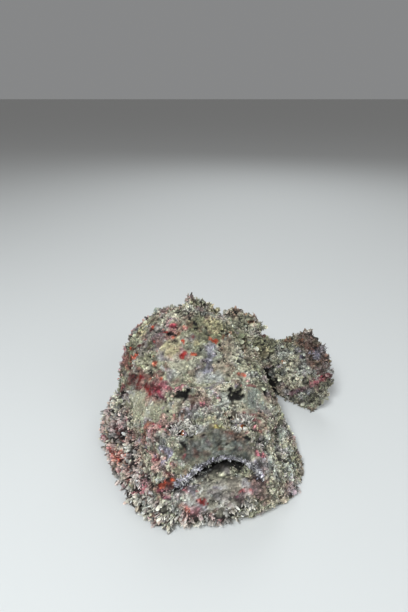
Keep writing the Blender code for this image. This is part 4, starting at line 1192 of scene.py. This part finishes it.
def makeEye(name, node, side):
    low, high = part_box(node)
    centre = (low + high) / 2
    radius = max(high - low) / 2 * eyeSettings["shrink"]
    gaze = Vector(eyeSettings["gaze"])
    gaze.x *= side
    gaze.normalize()
    bm = bmesh.new()
    bmesh.ops.create_uvsphere(bm, u_segments=64, v_segments=40, radius=radius)
    bmesh.ops.rotate(bm, verts=bm.verts, matrix=gaze.to_track_quat("Z", "Y").to_matrix())
    bmesh.ops.translate(bm, verts=bm.verts, vec=centre)
    mesh = bpy.data.meshes.new(name)
    bm.to_mesh(mesh)
    bm.free()
    places = pointsOf(mesh)
    away = (places - np.array(centre)) / radius
    turnAway = np.arccos(np.clip(away @ np.array(gaze), -1, 1))
    mottle = noiseAt(places, 1400, 2.0, 3)
    eyeTint = linear(colours["mauve"])[None] * (0.75 + 0.9 * mottle[:, None])
    iris = (1 - ease(turnAway, *eyeSettings["iris"]))[:, None]
    irisTint = linear(colours["rust"])[None] * (0.55 + 1.2 * mottle[:, None])
    eyeTint = eyeTint * (1 - iris) + irisTint * iris
    pupil = (1 - ease(turnAway, *eyeSettings["pupil"]))[:, None]
    eyeTint = eyeTint * (1 - pupil) + linear(eyeSettings["pupilColour"])[None] * pupil
    setTint(mesh, np.clip(eyeTint, 0, 1))
    mesh.materials.append(eyeFinish)
    piece = addPiece(name, mesh)
    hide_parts(node)
    return piece


def eyeMaterial():
    material = bpy.data.materials.new("eyeFinish")
    material.use_nodes = True
    tree = material.node_tree
    shader = tree.nodes["Principled BSDF"]
    colour = tree.nodes.new("ShaderNodeAttribute")
    colour.attribute_name = "tint"
    tree.links.new(colour.outputs["Color"], shader.inputs["Base Color"])
    place = tree.nodes.new("ShaderNodeTexCoord")
    grain = tree.nodes.new("ShaderNodeTexNoise")
    grain.inputs["Scale"].default_value = eyeSettings["grain"]
    tree.links.new(place.outputs["Object"], grain.inputs["Vector"])
    dull = tree.nodes.new("ShaderNodeMapRange")
    dull.inputs["To Min"].default_value = eyeSettings["roughness"][0]
    dull.inputs["To Max"].default_value = eyeSettings["roughness"][1]
    tree.links.new(grain.outputs["Fac"], dull.inputs["Value"])
    tree.links.new(dull.outputs["Result"], shader.inputs["Roughness"])
    shader.inputs["Coat Weight"].default_value = eyeSettings["gloss"]
    shader.inputs["Coat Roughness"].default_value = eyeSettings["glossRoughness"]
    return material


eyeFinish = eyeMaterial()
makeEye("eyeLeft", "eye_left", 1)
makeEye("eyeRight", "eye_right", -1)
print("stage: eyes")

# Studio: floor, lights and camera
studioSettings = {
    "floorSize": 14.0,
    "floorColour": (0.62, 0.615, 0.60),
    "floorRoughness": 0.9,
    "skyColour": (0.80, 0.81, 0.82),
    "skyStrength": 0.30,
    "lightColour": (0.93, 1.0, 1.04),
    "lightAim": (0.02, 0.0, 0.04),
    "sensor": 36.0,
    "clip": (0.01, 60.0),
}
# Place, size and power of each light
lights = {
    "keyLight": ((-0.30, -0.62, 0.98), 0.34, 13.0),
    "fillLight": ((0.9, -0.6, 0.8), 0.9, 4.0),
    "rimLight": ((0.2, 0.95, 0.9), 0.7, 4.0),
}

bm = bmesh.new()
bmesh.ops.create_grid(bm, x_segments=1, y_segments=1, size=studioSettings["floorSize"])
floorMesh = bpy.data.meshes.new("floor")
bm.to_mesh(floorMesh)
bm.free()
floorFinish = bpy.data.materials.new("floorFinish")
floorFinish.use_nodes = True
floorShader = floorFinish.node_tree.nodes["Principled BSDF"]
floorShader.inputs["Base Color"].default_value = (*studioSettings["floorColour"], 1)
floorShader.inputs["Roughness"].default_value = studioSettings["floorRoughness"]
floorMesh.materials.append(floorFinish)
floor = bpy.data.objects.new("floor", floorMesh)
bpy.context.scene.collection.objects.link(floor)
floor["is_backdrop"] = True

world = bpy.data.worlds.new("studio")
world.use_nodes = True
backdrop = world.node_tree.nodes["Background"]
backdrop.inputs["Color"].default_value = (*studioSettings["skyColour"], 1)
backdrop.inputs["Strength"].default_value = studioSettings["skyStrength"]
bpy.context.scene.world = world
bpy.context.scene.view_settings.view_transform = "Standard"

for name, (place, size, power) in lights.items():
    light = bpy.data.lights.new(name, "AREA")
    light.size = size
    light.energy = power
    light.color = studioSettings["lightColour"]
    holder = bpy.data.objects.new(name, light)
    holder.location = place
    aim = Vector(studioSettings["lightAim"]) - Vector(place)
    holder.rotation_euler = aim.to_track_quat("-Z", "Y").to_euler()
    bpy.context.scene.collection.objects.link(holder)

camera = bpy.data.objects.new("camera", bpy.data.cameras.new("camera"))
camera.location = viewSettings["place"]
camera.rotation_euler = (math.radians(90 - viewSettings["tilt"]), 0, 0)
camera.data.lens = round(studioSettings["sensor"] * viewSettings["focal"] / viewSettings["height"], 2)
camera.data.sensor_width = studioSettings["sensor"]
camera.data.clip_start, camera.data.clip_end = studioSettings["clip"]
bpy.context.scene.collection.objects.link(camera)
bpy.context.scene.camera = camera

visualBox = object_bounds()
sizes = {
    "cad": [list(map(float, row)) for row in cadBox],
    "visual": [list(map(float, row)) for row in visualBox],
}
print("stage: sizes", sizes)
